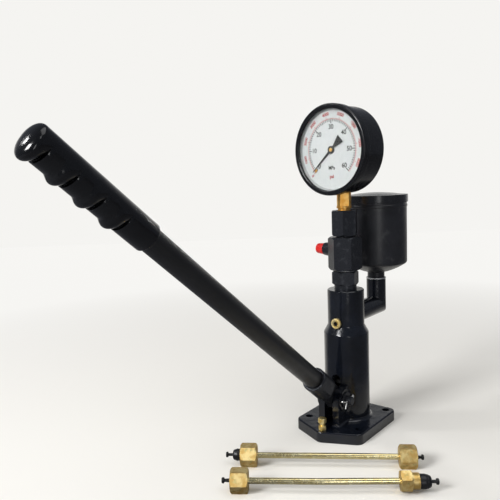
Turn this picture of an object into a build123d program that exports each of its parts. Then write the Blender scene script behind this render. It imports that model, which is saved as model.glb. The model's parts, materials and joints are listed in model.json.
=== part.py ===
from build123d import *
from math import asin, atan2, cos, degrees, hypot, pi, radians, sin, sqrt, tan
import os

# Hand pump tester for diesel injectors. Millimetres, +Z up, the gauge and the lever face -Y,
# the tank stands at +Y, and the origin is the centre of the column on the bench.

# Shared clearances
cut_overrun = 2.0
hexagon_half_corner = 30.0
hexagon_end_angle = 40.0
seat_gap = 0.05
sliding_gap = 0.3
running_gap = 0.05
thread_gap = 0.05

# Base flange
flange_half_width = 42.5
flange_back = 42.5
flange_corner_front = 46.0
flange_tip_front = 65.5
flange_thickness = 12.0
flange_corner_radius = 8.0
flange_front_radius = 9.0
flange_edge = 1.5
bolt_spacing = 66.0
bolt_hole_radius = 4.25

# Column
lower_column_radius = 26.0
upper_column_radius = 21.1
shoulder_bottom = 112.5
shoulder_top = 121.5
shoulder_round = 4.0
column_top = 163.0
column_top_edge = 0.8
foot_fillet = 4.0
spring_chamber_radius = 19.0
spring_chamber_top = 108.0
barrel_bore_radius = 11.0
barrel_seat_depth = 13.0
holder_thread_radius = 13.0

# Lugs that carry the lever's pin
pivot_behind_front = 29.2
pivot_height = 40.9
lug_half_width = 13.0
slot_half_width = 5.3
ear_radius = 13.8
lug_blend_radius = 6.0
boss_radius = 13.0
boss_half_width = 15.0
window_top = 66.5

# Lever
rest_angle = 38.5
crank_angle = 18.0
inner_arm = 33.0
nose_radius = 8.5
hub_radius = 12.5
neck_half_height = 4.2
neck_root_half_height = 7.0
arm_half_height = 11.0
shoulder_distance = 28.0
socket_length = 27.3
socket_radius = 13.6
socket_flat = 11.8
socket_rim = 2.2
socket_mouth_edge = 0.8
socket_bore_floor = 6.0
tube_radius = 10.5
tube_wall = 2.0
grip_start = 341.0
grip_length = 119.5
grip_radius = 12.6
grip_front_round = 1.2
grip_end_wall = 6.0
hump_count = 4
hump_pitch = 25.6
hump_height = 3.0
last_hump_to_end = 6.0
hump_place_shares = (-0.297, -0.281, -0.246, -0.156, 0, 0.117, 0.273)
hump_height_shares = (0, -0.87, -0.5, 0.5, 1, 0.6, 0)
grip_end_shares = (0.4, 0.65, 0.82, 0.93, 0.985)
grip_end_power = 2.4

# Lever pin, its washers and split pin
pin_radius = 5.0
pin_head_radius = 8.5
pin_head_thickness = 3.5
pin_edge = 0.8
pin_end_beyond_washer = 6.4
washer_thickness = 1.8
washer_radius = 9.0
spot_face_clearance = 0.5
split_wire_radius = 0.8
split_eye_radius = 1.7
split_hole_clearance = 0.25
split_leg_straight = 1.5
split_long_leg = 8.0
split_long_leg_rise = 5.0
split_short_leg = 3.0
split_short_leg_drop = 5.0
split_eye_reach = 1.3
split_tilt = 10.0

# Lever stop screw on the flange's tip
stop_front = 56.9
stop_thread_radius = 2.5
stop_hex = 8.0
stop_nut_height = 5.0
stop_gap_height = 3.0
stop_head_height = 5.5
stop_thread_end = 2.0

# Plunger, its spring and the barrel
plunger_radius = 5.0
plunger_foot_radius = 6.0
plunger_foot_edge = 1.0
plunger_foot_length = 12.5
plunger_collar_radius = 8.0
plunger_collar_thickness = 3.5
plunger_rod_length = 66.0
spring_seat_radius = 18.4
spring_seat_thickness = 4.0
spring_seat_rim = 2.0
spring_wire_radius = 1.5
spring_mean_radius = 15.0
spring_turns = 6
spring_wire_sides = 8
barrel_bottom = 97.0
inlet_hole_radius = 1.5

# Delivery valve and its holder
valve_seat_thickness = 7.0
valve_seat_radius = 12.9
valve_bore_radius = 3.0
valve_stem_radius = 2.4
valve_head_radius = 4.6
valve_head_thickness = 3.0
valve_lift = 2.0
valve_spring_wire = 0.5
valve_spring_mean = 3.4
valve_spring_turns = 6
valve_spring_length = 14.0
holder_neck_radius = 12.8
holder_neck_above_column = 5.5
holder_hex = 27.0
holder_hex_height = 15.8
holder_chamber_radius = 6.0
holder_spigot_radius = 9.0
holder_spigot_length = 13.0
holder_turn = 11.0
passage_radius = 2.0

# Valve block and outlet
head_turn = -9.3
block_washer_thickness = 1.7
block_washer_radius = 13.6
block_hex = 34.0
block_height = 38.0
stub_radius = 10.0
stub_length = 14.0
outlet_above_block_bottom = 22.0
outlet_thread_radius = 7.0
outlet_thread_depth = 9.0
outlet_collar_radius = 8.7
outlet_collar_end_radius = 7.6
outlet_collar_length = 11.8
outlet_spigot_radius = 6.0
outlet_spigot_length = 8.2
cap_wall = 0.7
cap_end_wall = 3.2
cap_end_radius = 6.0
cap_rim_thickness = 2.0

# Gauge connection
gauge_nut_hex = 27.0
gauge_nut_bottom_gap = 1.5
gauge_nut_height = 29.0
gauge_nut_turn = 24.0
gauge_seal_thickness = 1.2
stem_thread_top_inset = 0.6
stem_relief_radius = 7.2
stem_relief_height = 3.0
stem_ring_radius = 8.6
stem_ring_height = 2.2
stem_radius = 8.15
stem_flats = 12.8
stem_flats_turn = 45.0
stem_block_side = 14.0
stem_block_above_wall = 14.5

# Gauge case, bezel, glass and dial
gauge_centre_above_block = 98.7
bezel_radius = 50.5
bezel_window_radius = 44.8
bezel_front = 26.2
bezel_depth = 9.7
bezel_lip = 2.8
bezel_round = 1.6
case_radius = 48.6
case_wall = 3.2
case_back = 11.6
case_back_wall = 2.0
case_back_round = 3.0
glass_thickness = 2.4
dial_thickness = 1.0
dial_behind_glass = 1.8
dial_seat_radius = 46.4
dial_hole_radius = 2.0
stem_hole_gap = 0.3

# Pointer, zero stop and movement
pointer_length = 36.5
pointer_tail = 18.0
pointer_neck = 5.5
pointer_thickness = 0.5
pointer_root_half_width = 1.5
pointer_tip_half_width = 0.35
pointer_tail_half_width = 5.2
pointer_hub_radius = 4.3
pointer_hub_thickness = 1.0
pointer_rest_angle = 131.0
spindle_radius = 0.9
spindle_clearance = 0.08
zero_stop_distance = 32.0
zero_stop_angle = 134.7
zero_stop_length = 3.5
zero_stop_width = 2.4
zero_stop_height = 1.3
movement_half_width = 13.0
movement_above_axis = 8.0
movement_below_axis = 36.0
movement_plate = 1.5
movement_space = 5.5
pillar_radius = 2.0
pillar_inset = 3.0
sector_drop = 20.0
pinion_radius = 2.0
sector_thickness = 1.4
sector_half_angle = 24.0
sector_hub_radius = 3.0
sector_swing = 30.0
tooth_gap = 0.15
bourdon_radius = 33.0
bourdon_half_width = 5.5
bourdon_half_thickness = 2.2
bourdon_start_angle = 15.0
bourdon_sweep = 255.0

# Tank, lid and strainer
tank_centre = 76.9
tank_radius = 38.2
tank_wall = 1.6
tank_top = 267.0
tank_dish_bottom = 171.6
tank_dish_rise = 13.0
tank_dish_bulge = 1.6
tank_corner_radius = 4.0
tank_neck_radius = 10.5
tank_neck_length = 6.4
tank_neck_wall = 1.7
tank_spigot_radius = 7.0
tank_spigot_length = 8.0
tank_bead_drop = 11.5
tank_bead_half_height = 2.0
tank_bead_depth = 0.7
lid_side_gap = 0.5
lid_wall = 1.0
lid_skirt = 7.8
lid_rim_height = 1.5
lid_dome = 3.0
lid_flat_share = 0.86
lid_edge_round = 0.7
strainer_height = 20.0
strainer_wall = 0.8
strainer_step = 3.0

# Elbow between the tank and the column
tank_washer_thickness = 1.5
tank_washer_radius = 12.1
elbow_radius = 11.9
elbow_height = 130.2
elbow_bore = 5.0
elbow_spigot_radius = 8.0

# Bleed plug in the front of the column
plug_height = 126.0
plug_thread_radius = 5.0
plug_head_radius = 5.9
plug_head_thickness = 3.2
plug_socket = 5.0
plug_socket_depth = 3.5
plug_washer_radius = 6.4
plug_washer_thickness = 1.2
plug_bore_radius = 1.5

# Loose test pipes that lie in front of the tester
pipe_radius = 3.0
pipe_bore_radius = 1.25
pipe_nut_hex = 21.0
pipe_nut_length = 17.0
pipe_nut_mouth_radius = 7.0
pipe_nut_back_wall = 5.0
pipe_nose_radius = 5.6
pipe_nose_length = 5.0
union_hex = 18.2
union_hex_length = 10.4
union_collar_radius = 7.6
union_collar_length = 6.8
union_thread_radius = 6.0
union_thread_length = 7.0
pipe_a_right = 35.8
pipe_a_front = 105.0
pipe_a_turn = 33.2
pipe_a_length = 178.0
pipe_b_right = 59.0
pipe_b_front = 149.4
pipe_b_turn = 34.7
pipe_b_length = 176.0
pipe_b_bow = 1.4
pipe_b_bend_radius = 200.0
pipe_b_straight_end = 10.0
union_socket_depth = 3.0
plug_cap_radius = 6.4
plug_cap_length = 6.5
plug_cap_flange_radius = 8.0
plug_cap_flange = 1.6
plug_cap_insert = 6.0
plug_tab_length = 9.0
plug_tab_half_width = 3.6
plug_tab_half_thickness = 1.2
plug_tab_neck_half_width = 1.6
cover_cap_wall = 1.4

# Places worked out from the sizes above
base_align = (Align.CENTER, Align.CENTER, Align.MIN)
tongue_half_width = slot_half_width - sliding_gap
rest_inner_angle = crank_angle - rest_angle
nose_rest_height = pivot_height + inner_arm * sin(radians(rest_inner_angle))
foot_height = nose_rest_height + nose_radius + sliding_gap
lug_front = pivot_behind_front + ear_radius
lug_top = pivot_height + ear_radius
stop_head_top = flange_thickness + stop_nut_height + stop_gap_height + stop_head_height
collar_bottom = foot_height + plunger_foot_length
spring_seat_bottom = collar_bottom + plunger_collar_thickness
spring_bottom = spring_seat_bottom + spring_seat_thickness
barrel_seat = column_top - barrel_seat_depth
valve_seat_top = barrel_seat + valve_seat_thickness
holder_neck_top = column_top + holder_neck_above_column
hex_top = holder_neck_top + holder_hex_height
block_bottom = hex_top + block_washer_thickness
block_top = block_bottom + block_height
outlet_height = block_bottom + outlet_above_block_bottom
stub_top = block_top + stub_length
gauge_nut_bottom = block_top + gauge_nut_bottom_gap
gauge_nut_top = gauge_nut_bottom + gauge_nut_height
stem_bottom = stub_top + gauge_seal_thickness
gauge_centre_height = block_top + gauge_centre_above_block
case_bottom = gauge_centre_height - case_radius
glass_front = bezel_front - bezel_lip
glass_back = glass_front - glass_thickness
dial_front = glass_back - dial_behind_glass
dial_back = dial_front - dial_thickness
pointer_front = (glass_back + dial_front + pointer_hub_thickness) / 2
spot_face_plug = sqrt(upper_column_radius**2 - (plug_washer_radius + sliding_gap) ** 2)
elbow_face = sqrt(upper_column_radius**2 - (elbow_radius + sliding_gap) ** 2)
tank_neck_bottom = tank_dish_bottom - tank_neck_length
elbow_top = tank_neck_bottom - tank_washer_thickness
tank_bead_height = tank_top - tank_bead_drop
pipe_height = pipe_nut_hex / 2
pipe_a_centre = (pipe_a_right, -pipe_a_front)
pipe_b_centre = (pipe_b_right, -pipe_b_front)


# Low side of the handle's travel: the socket comes down onto the stop screw's head
def lowest_lever_angle():
    reach = stop_front - pivot_behind_front + stop_hex / 2 / cos(radians(hexagon_half_corner))
    drop = pivot_height - stop_head_top
    distance = hypot(reach, drop)
    return degrees(asin((socket_radius + sliding_gap) / distance)) - degrees(atan2(drop, reach))


def lever_swing():
    return rest_angle - lowest_lever_angle()


def plunger_stroke():
    end_angle = rest_inner_angle + lever_swing()
    return inner_arm * (sin(radians(end_angle)) - sin(radians(rest_inner_angle)))


# Round solid about Z from a closed outline of (radius, height) points
def turned(points):
    outline = Polyline(*[(radius, 0, height) for radius, height in points], close=True)
    return revolve(make_face(outline), Axis.Z)


# Round bar or ring standing on Z
def ring(radius, bottom, top, bore=0):
    solid = Pos(0, 0, bottom) * Cylinder(radius, top - bottom, align=base_align)
    if bore:
        solid -= Pos(0, 0, bottom - cut_overrun) * Cylinder(
            bore, top - bottom + 2 * cut_overrun, align=base_align)
    return solid


# Hexagon bar with both ends turned to a chamfer, flats square to X after the turn
def hexagon(across_flats, bottom, top, turn=0):
    corner = across_flats / 2 / cos(radians(hexagon_half_corner))
    end_radius = across_flats / 2
    rise = (corner - end_radius) * tan(radians(hexagon_end_angle))
    prism = Pos(0, 0, bottom) * extrude(
        RegularPolygon(corner, 6, rotation=hexagon_half_corner + turn), top - bottom)
    barrel = turned([(0, bottom), (end_radius, bottom), (corner, bottom + rise),
                     (corner, top - rise), (end_radius, top), (0, top)])
    return prism & barrel


# Solid whose length runs along Z moved so that it points along +Y
def along_y(solid):
    return Rot(-90, 0, 0) * solid


# Lever pieces are made with the pin at the origin and the handle along -Y
def on_lever(solid):
    return Pos(0, -pivot_behind_front, pivot_height) * Rot(-rest_angle, 0, 0) * solid


# Gauge pieces are made about +Y, front face towards -Y, and turned with the head
def on_gauge(solid):
    return Rot(0, 0, head_turn) * Pos(0, 0, gauge_centre_height) * solid


def flange():
    corners = [(flange_half_width, flange_back), (-flange_half_width, flange_back),
               (-flange_half_width, -flange_corner_front), (0, -flange_tip_front),
               (flange_half_width, -flange_corner_front)]
    outline = make_face(Polyline(*corners, close=True))
    back = outline.vertices().sort_by(Axis.Y)[-2:]
    front = outline.vertices().sort_by(Axis.Y)[:-2]
    outline = fillet(back, flange_corner_radius)
    front = [v for v in outline.vertices() if v.Y < -flange_corner_front + flange_front_radius]
    outline = fillet(front, flange_front_radius)
    plate = extrude(outline, flange_thickness)
    return fillet(plate.edges().group_by(Axis.Z)[-1], flange_edge)


# Both lugs as one block, its upper front corner a round about the pin
def lug_block():
    profile = [(-lug_front, flange_thickness / 2), (-lug_front, lug_top), (0, lug_top),
               (0, flange_thickness / 2)]
    side = make_face(Polyline(*[(0, y, z) for y, z in profile], close=True))
    block = extrude(side, lug_half_width, dir=(1, 0, 0), both=True)
    upper_front = block.edges().filter_by(Axis.X).sort_by(Axis.Z)[-2:].sort_by(Axis.Y)[0]
    return fillet(upper_front, ear_radius)


# Column, flange and lugs are one casting; the foot and the lug corners are faired
def casting_outside():
    column = turned([(0, 0), (lower_column_radius, 0), (lower_column_radius, shoulder_bottom),
                     (upper_column_radius, shoulder_top), (upper_column_radius, column_top),
                     (0, column_top)])
    shoulder = [e for e in column.edges().filter_by(GeomType.CIRCLE)
                if shoulder_bottom - seat_gap < e.center().Z < shoulder_top + seat_gap]
    column = fillet(shoulder, shoulder_round)
    top_rim = column.edges().filter_by(GeomType.CIRCLE).sort_by(Axis.Z)[-1]
    column = chamfer(top_rim, column_top_edge)
    upright = column + lug_block()
    meeting_y = -sqrt(lower_column_radius**2 - lug_half_width**2)
    corners = [e for e in upright.edges().filter_by(Axis.Z)
               if abs(e.center().Y - meeting_y) < seat_gap and abs(e.center().X) > slot_half_width]
    upright = fillet(corners, lug_blend_radius)
    body = upright + flange()
    foot = [e for e in body.edges()
            if abs(e.center().Z - flange_thickness) < seat_gap
            and e.bounding_box().size.Z < seat_gap
            and abs(e.center().X) < lower_column_radius + seat_gap
            and -lug_front - seat_gap < e.center().Y < lower_column_radius + seat_gap]
    return fillet(foot, foot_fillet)


def body_casting():
    body = casting_outside()
    pin_axis = Pos(0, -pivot_behind_front, pivot_height) * Rot(0, 90, 0)
    body += pin_axis * Cylinder(boss_radius, 2 * boss_half_width)
    chamber = ring(spring_chamber_radius, -cut_overrun, spring_chamber_top)
    barrel_bore = ring(barrel_bore_radius + seat_gap, spring_chamber_top - cut_overrun, column_top)
    top_bore = ring(holder_thread_radius + thread_gap, barrel_seat, column_top + cut_overrun)
    body -= chamber + barrel_bore + top_bore
    slot_depth = lug_front + cut_overrun
    window_crown = window_top - slot_half_width
    slot = Pos(0, 0, flange_thickness) * Box(
        2 * slot_half_width, slot_depth, window_crown - flange_thickness,
        align=(Align.CENTER, Align.MAX, Align.MIN))
    slot += Pos(0, 0, window_crown) * Rot(90, 0, 0) * Cylinder(
        slot_half_width, slot_depth, align=base_align)
    wall_front = sqrt(lower_column_radius**2 - slot_half_width**2)
    open_top = Pos(0, -wall_front, flange_thickness) * Box(
        2 * slot_half_width, slot_depth, lug_top, align=(Align.CENTER, Align.MAX, Align.MIN))
    body -= slot + open_top
    body -= pin_axis * Cylinder(pin_radius + seat_gap, 2 * boss_half_width + cut_overrun)
    spot_face = ring(washer_radius + spot_face_clearance, boss_half_width, lower_column_radius)
    body -= pin_axis * spot_face
    body -= pin_axis * Rot(180, 0, 0) * spot_face
    half = bolt_spacing / 2
    for x, y in ((half, half), (half, -half), (-half, half), (-half, -half)):
        body -= Pos(x, y, 0) * Cylinder(bolt_hole_radius, 3 * flange_thickness)
    body -= Pos(0, -stop_front, 0) * Cylinder(stop_thread_radius + thread_gap, 3 * flange_thickness)
    plug_reach = upper_column_radius + cut_overrun
    body -= Pos(0, -plug_reach, plug_height) * along_y(
        ring(plug_washer_radius + sliding_gap, 0, plug_reach - spot_face_plug))
    body -= Pos(0, -plug_reach, plug_height) * along_y(
        ring(plug_thread_radius + thread_gap, 0, plug_reach - barrel_bore_radius + seat_gap))
    body -= Pos(0, elbow_face, elbow_height) * along_y(
        ring(elbow_radius + sliding_gap, 0, plug_reach))
    body -= Pos(0, 0, elbow_height) * along_y(
        ring(elbow_spigot_radius + thread_gap, 0, plug_reach))
    return body


def stop_screw():
    top = stop_head_top
    neck = top - stop_head_height
    head = hexagon(stop_hex, neck, top)
    return Pos(0, -stop_front, 0) * (head + ring(stop_thread_radius, stop_thread_end, neck))


def stop_screw_nut():
    nut = hexagon(stop_hex, flange_thickness, flange_thickness + stop_nut_height,
                  hexagon_half_corner)
    nut -= ring(stop_thread_radius + thread_gap, 0, 2 * flange_thickness + stop_nut_height)
    return Pos(0, -stop_front, 0) * nut


# The tongue is the flat rocker between the lugs: hub, cranked arm and round nose
def lever_tongue():
    nose_y = inner_arm * cos(radians(crank_angle))
    nose_z = inner_arm * sin(radians(crank_angle))
    across = (-sin(radians(crank_angle)), cos(radians(crank_angle)))
    neck = [(across[0] * neck_root_half_height, across[1] * neck_root_half_height),
            (nose_y + across[0] * neck_half_height, nose_z + across[1] * neck_half_height),
            (nose_y - across[0] * neck_half_height, nose_z - across[1] * neck_half_height),
            (-across[0] * neck_root_half_height, -across[1] * neck_root_half_height)]
    arm = [(0, arm_half_height), (-shoulder_distance - cut_overrun, arm_half_height),
           (-shoulder_distance - cut_overrun, -arm_half_height), (0, -arm_half_height)]
    shape = Circle(hub_radius) + Pos(nose_y, nose_z) * Circle(nose_radius)
    shape += make_face(Polyline(*neck, close=True))
    shape += make_face(Polyline(*arm, close=True))
    return extrude(Plane.YZ * shape, tongue_half_width, both=True)


def lever_head():
    socket_end = shoulder_distance + socket_length
    socket = turned([(0, shoulder_distance), (socket_radius, shoulder_distance),
                     (socket_radius, socket_end - socket_mouth_edge),
                     (socket_radius - socket_mouth_edge, socket_end), (0, socket_end)])
    flat_length = socket_length - socket_rim
    for side in (1, -1):
        socket -= Pos(side * (socket_flat + socket_radius), 0, shoulder_distance) * Box(
            2 * socket_radius, 2 * socket_radius, flat_length, align=base_align)
    socket -= ring(tube_radius + seat_gap, shoulder_distance + socket_bore_floor,
                   socket_end + cut_overrun)
    head = Rot(90, 0, 0) * socket + lever_tongue()
    head -= Rot(0, 90, 0) * Cylinder(pin_radius + running_gap, 4 * tongue_half_width)
    return on_lever(head)


def lever_tube():
    start = shoulder_distance + socket_bore_floor
    end = grip_start + grip_length - grip_end_wall
    return on_lever(Rot(90, 0, 0) * ring(tube_radius, start, end, tube_radius - tube_wall))


# Grip section: half a circle above and a shallower or deeper arc below
def grip_section(distance, depth, shrink=1):
    half_width = grip_radius * shrink
    top = ThreePointArc((half_width, 0), (0, half_width), (-half_width, 0))
    bottom = ThreePointArc((-half_width, 0), (0, -depth * shrink), (half_width, 0))
    return Pos(0, 0, distance) * make_face([top, bottom])


# Plain sleeve, then the finger stops with their notches, then closer steps round the end
def grip_sections():
    end = grip_start + grip_length
    last_crest = end - last_hump_to_end
    crest_depth = grip_radius + hump_height
    sections = [grip_section(grip_start, grip_radius)]
    for hump in range(hump_count):
        crest = last_crest - (hump_count - 1 - hump) * hump_pitch
        for place, height in zip(hump_place_shares, hump_height_shares):
            if crest + place * hump_pitch <= last_crest:
                sections.append(grip_section(crest + place * hump_pitch,
                                             grip_radius + height * hump_height))
    for share in grip_end_shares:
        left = (1 - share**grip_end_power) ** (1 / grip_end_power)
        sections.append(grip_section(last_crest + share * last_hump_to_end, crest_depth, left))
    return sections


def lever_grip():
    grip = loft(grip_sections(), ruled=True)
    mouth = grip.edges().group_by(Axis.Z)[0]
    grip = chamfer(mouth, grip_front_round)
    grip -= ring(tube_radius + seat_gap, grip_start - cut_overrun,
                 grip_start + grip_length - grip_end_wall + sliding_gap)
    return on_lever(Rot(90, 0, 0) * grip)


def pivot_pin():
    washer_end = boss_half_width + washer_thickness
    pin = ring(pin_radius, -boss_half_width, washer_end + pin_end_beyond_washer)
    pin += ring(pin_head_radius, -boss_half_width - pin_head_thickness, -boss_half_width)
    pin = chamfer(pin.edges().filter_by(GeomType.CIRCLE).group_by(Axis.Z)[-1], pin_edge)
    pin = chamfer(pin.edges().filter_by(GeomType.CIRCLE).group_by(Axis.Z)[0], pin_edge)
    hole = 2 * split_wire_radius + split_hole_clearance
    pin -= Pos(0, 0, split_height()) * Rot(90, 0, 0) * Cylinder(hole, 4 * pin_radius)
    return Pos(0, -pivot_behind_front, pivot_height) * Rot(0, 90, 0) * Rot(0, 0, split_tilt) * pin


# Distance of the split pin's hole from the middle of the pivot pin
def split_height():
    return boss_half_width + washer_thickness + 2 * split_wire_radius + 2 * split_hole_clearance


def pivot_washer():
    washer = ring(washer_radius, boss_half_width, boss_half_width + washer_thickness,
                  pin_radius + seat_gap)
    return Pos(0, -pivot_behind_front, pivot_height) * Rot(0, 90, 0) * washer


# One bent wire: two legs side by side through the pin and an eye outside it
def split_pin():
    half = split_wire_radius + split_hole_clearance / 2
    eye_start = pin_radius + split_eye_reach
    leg_end = -pin_radius - split_leg_straight
    eye_mid = eye_start + split_eye_radius
    eye_end = eye_mid + split_eye_radius
    route = Polyline(
        (leg_end - split_long_leg, half + split_long_leg_rise), (leg_end, half),
        (eye_start, half), (eye_mid, split_eye_radius), (eye_end, split_eye_radius),
        (eye_end, -split_eye_radius), (eye_mid, -split_eye_radius), (eye_start, -half),
        (leg_end, -half), (leg_end - split_short_leg, -half - split_short_leg_drop))
    path = FilletPolyline(*[v.center() for v in route.vertices()],
                          radius=split_wire_radius + split_hole_clearance / 4)
    profile = Plane(path @ 0, z_dir=path % 0) * Circle(split_wire_radius)
    wire = sweep(profile, path)
    wire = Pos(0, 0, split_height()) * Rot(0, 0, 90) * wire
    return Pos(0, -pivot_behind_front, pivot_height) * Rot(0, 90, 0) * Rot(0, 0, split_tilt) * wire


def plunger():
    collar_top = spring_seat_bottom
    foot_edge = foot_height + plunger_foot_edge
    return turned([(0, foot_height), (plunger_foot_radius - plunger_foot_edge, foot_height),
                   (plunger_foot_radius, foot_edge), (plunger_foot_radius, collar_bottom),
                   (plunger_collar_radius, collar_bottom),
                   (plunger_collar_radius, collar_top), (plunger_radius, collar_top),
                   (plunger_radius, collar_top + plunger_rod_length),
                   (0, collar_top + plunger_rod_length)])


def spring_seat():
    top = spring_bottom
    inside = spring_mean_radius - spring_wire_radius - sliding_gap
    hole = plunger_radius + seat_gap
    return turned([(hole, spring_seat_bottom), (spring_seat_radius, spring_seat_bottom),
                   (spring_seat_radius, top), (inside, top), (inside, top + spring_seat_rim),
                   (hole, top + spring_seat_rim)])


# Two arcs that leave one point along its direction and reach the next along its own
def biarc(start, start_direction, end, end_direction):
    chord = end - start
    both = start_direction + end_direction
    square = both.dot(both) - 4
    half = chord.dot(both)
    reach = (half - sqrt(half**2 - square * chord.dot(chord))) / square
    middle = (start + end + (start_direction - end_direction) * reach) * 0.5
    first = TangentArc(start, middle, tangent=start_direction)
    return [first, TangentArc(middle, end, tangent=first % 1)]


# Least space between one turn of a coil and the next, measured between points of its path
def least_gap(points, wire_radius, points_per_turn):
    gaps = [(a - b).length for i, a in enumerate(points)
            for b in points[i + points_per_turn // 2:]]
    return min(gaps) - 2 * wire_radius


# One unbroken wire wound from bottom to top in quarter turns, with short straight ends
def coil_spring(mean_radius, wire_radius, bottom, top, turns):
    low = bottom + wire_radius + seat_gap
    high = top - wire_radius - seat_gap
    climb = (high - low) / (2 * pi * turns)
    slope = hypot(mean_radius, climb)
    points = []
    directions = []
    for step in range(4 * turns + 1):
        turn = step * pi / 2
        points.append(Vector(mean_radius * cos(turn), mean_radius * sin(turn), low + climb * turn))
        directions.append(Vector(-mean_radius * sin(turn), mean_radius * cos(turn), climb) / slope)
    path = []
    for step in range(4 * turns):
        path += biarc(points[step], directions[step], points[step + 1], directions[step + 1])
    print("least gap between turns", round(least_gap(points, wire_radius, 4), 2))
    lead_in = Vector(0, -2 * wire_radius, 0)
    path.insert(0, Line(points[0] + lead_in, points[0]))
    path.append(Line(points[-1], points[-1] - lead_in))
    wire = Wire(path)
    profile = Plane(wire @ 0, z_dir=wire % 0) * RegularPolygon(wire_radius, spring_wire_sides)
    return sweep(profile, wire)


def return_spring():
    return coil_spring(spring_mean_radius, spring_wire_radius, spring_bottom,
                       spring_chamber_top, spring_turns)


def plunger_barrel():
    barrel = ring(barrel_bore_radius, barrel_bottom, barrel_seat, plunger_radius + running_gap)
    inlet = Pos(0, 0, elbow_height) * along_y(ring(inlet_hole_radius, 0, 2 * barrel_bore_radius))
    bleed = Pos(0, -2 * barrel_bore_radius, plug_height) * along_y(
        ring(plug_bore_radius, 0, 2 * barrel_bore_radius))
    return barrel - inlet - bleed


def delivery_valve_seat():
    return ring(valve_seat_radius, barrel_seat, valve_seat_top, valve_bore_radius)


def delivery_valve():
    low = valve_seat_top + sliding_gap
    stem_bottom_height = barrel_seat + valve_lift
    return turned([(0, stem_bottom_height), (valve_stem_radius, stem_bottom_height),
                   (valve_stem_radius, low), (valve_head_radius, low),
                   (valve_head_radius, low + valve_head_thickness),
                   (0, low + valve_head_thickness)])


def delivery_valve_spring():
    low = valve_seat_top + sliding_gap + valve_head_thickness
    return coil_spring(valve_spring_mean, valve_spring_wire, low, low + valve_spring_length,
                       valve_spring_turns)


def valve_holder():
    chamber_top = (valve_seat_top + sliding_gap + valve_head_thickness + valve_spring_length)
    body = turned([(0, valve_seat_top), (holder_thread_radius, valve_seat_top),
                   (holder_thread_radius, column_top), (holder_neck_radius, column_top),
                   (holder_neck_radius, holder_neck_top), (0, holder_neck_top)])
    body += hexagon(holder_hex, holder_neck_top, hex_top, holder_turn)
    body += ring(holder_spigot_radius, hex_top, hex_top + holder_spigot_length)
    body -= ring(holder_chamber_radius, valve_seat_top - cut_overrun, chamber_top)
    return body - ring(passage_radius, chamber_top - cut_overrun,
                       hex_top + holder_spigot_length + cut_overrun)


def block_washer():
    return ring(block_washer_radius, hex_top, block_bottom, holder_spigot_radius + thread_gap)


# Outlet pieces are made along +Z from the column axis, then laid to face -X
def on_outlet(solid):
    return Rot(0, 0, head_turn) * Pos(0, 0, outlet_height) * Rot(0, -90, 0) * solid


def valve_block():
    block = hexagon(block_hex, block_bottom, block_top)
    block += ring(stub_radius, block_top, stub_top)
    block -= ring(holder_spigot_radius + thread_gap, block_bottom - cut_overrun,
                  hex_top + holder_spigot_length + sliding_gap)
    block -= ring(passage_radius, block_bottom, stub_top + cut_overrun)
    block = Rot(0, 0, head_turn) * block
    facet = block_hex / 2
    block -= on_outlet(ring(outlet_thread_radius + thread_gap,
                            facet - outlet_thread_depth - sliding_gap, facet + cut_overrun))
    return block - on_outlet(ring(passage_radius, 0, facet))


def outlet_nipple():
    facet = block_hex / 2
    collar_end = facet + outlet_collar_length
    spigot_end = collar_end + outlet_spigot_length
    nipple = turned([(0, facet - outlet_thread_depth),
                     (outlet_thread_radius, facet - outlet_thread_depth),
                     (outlet_thread_radius, facet), (outlet_collar_radius, facet),
                     (outlet_collar_end_radius, collar_end), (outlet_spigot_radius, collar_end),
                     (outlet_spigot_radius, spigot_end), (0, spigot_end)])
    return on_outlet(nipple - ring(passage_radius, 0, spigot_end + cut_overrun))


def outlet_cap():
    start = block_hex / 2 + outlet_collar_length + sliding_gap
    inner_end = start + outlet_spigot_length
    outer = outlet_spigot_radius + sliding_gap + cap_wall
    end = inner_end + cap_end_wall
    cap = turned([(0, start), (outer, start), (outer, start + cap_rim_thickness),
                  (cap_end_radius, end), (0, end)])
    return on_outlet(cap - ring(outlet_spigot_radius + sliding_gap, start - cut_overrun, inner_end))


def gauge_seal():
    return ring(stub_radius, stub_top, stem_bottom, passage_radius)


def gauge_nut():
    nut = hexagon(gauge_nut_hex, gauge_nut_bottom, gauge_nut_top, gauge_nut_turn)
    return nut - ring(stub_radius + thread_gap, gauge_nut_bottom - cut_overrun,
                      gauge_nut_top + cut_overrun)


def gauge_stem():
    thread_top = gauge_nut_top - stem_thread_top_inset
    relief_top = thread_top + stem_relief_height
    ring_top = relief_top + stem_ring_height
    neck_top = case_bottom + case_wall + cut_overrun
    stem = turned([(0, stem_bottom), (stub_radius, stem_bottom), (stub_radius, thread_top),
                   (stem_relief_radius, thread_top), (stem_relief_radius, relief_top),
                   (stem_ring_radius, relief_top), (stem_ring_radius, ring_top),
                   (stem_radius, ring_top), (stem_radius, neck_top), (0, neck_top)])
    flats = Pos(0, 0, ring_top) * Rot(0, 0, stem_flats_turn) * Box(
        3 * stem_radius, stem_flats, case_bottom - ring_top, align=base_align)
    keep = ring(2 * stem_radius, 0, ring_top) + flats
    keep += ring(2 * stem_radius, case_bottom, neck_top + cut_overrun)
    stem = stem & keep
    stem += Pos(0, 0, neck_top) * Box(
        stem_block_side, stem_block_side, stem_block_above_wall, align=base_align)
    stem -= ring(passage_radius, stem_bottom - cut_overrun, neck_top)
    return Rot(0, 0, head_turn) * stem


# Round gauge piece from an outline of (radius, depth) points, depth counted towards the front
def gauge_turned(points):
    outline = Polyline(*[(radius, -depth, 0) for radius, depth in points], close=True)
    return revolve(make_face(outline), Axis.Y)


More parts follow.
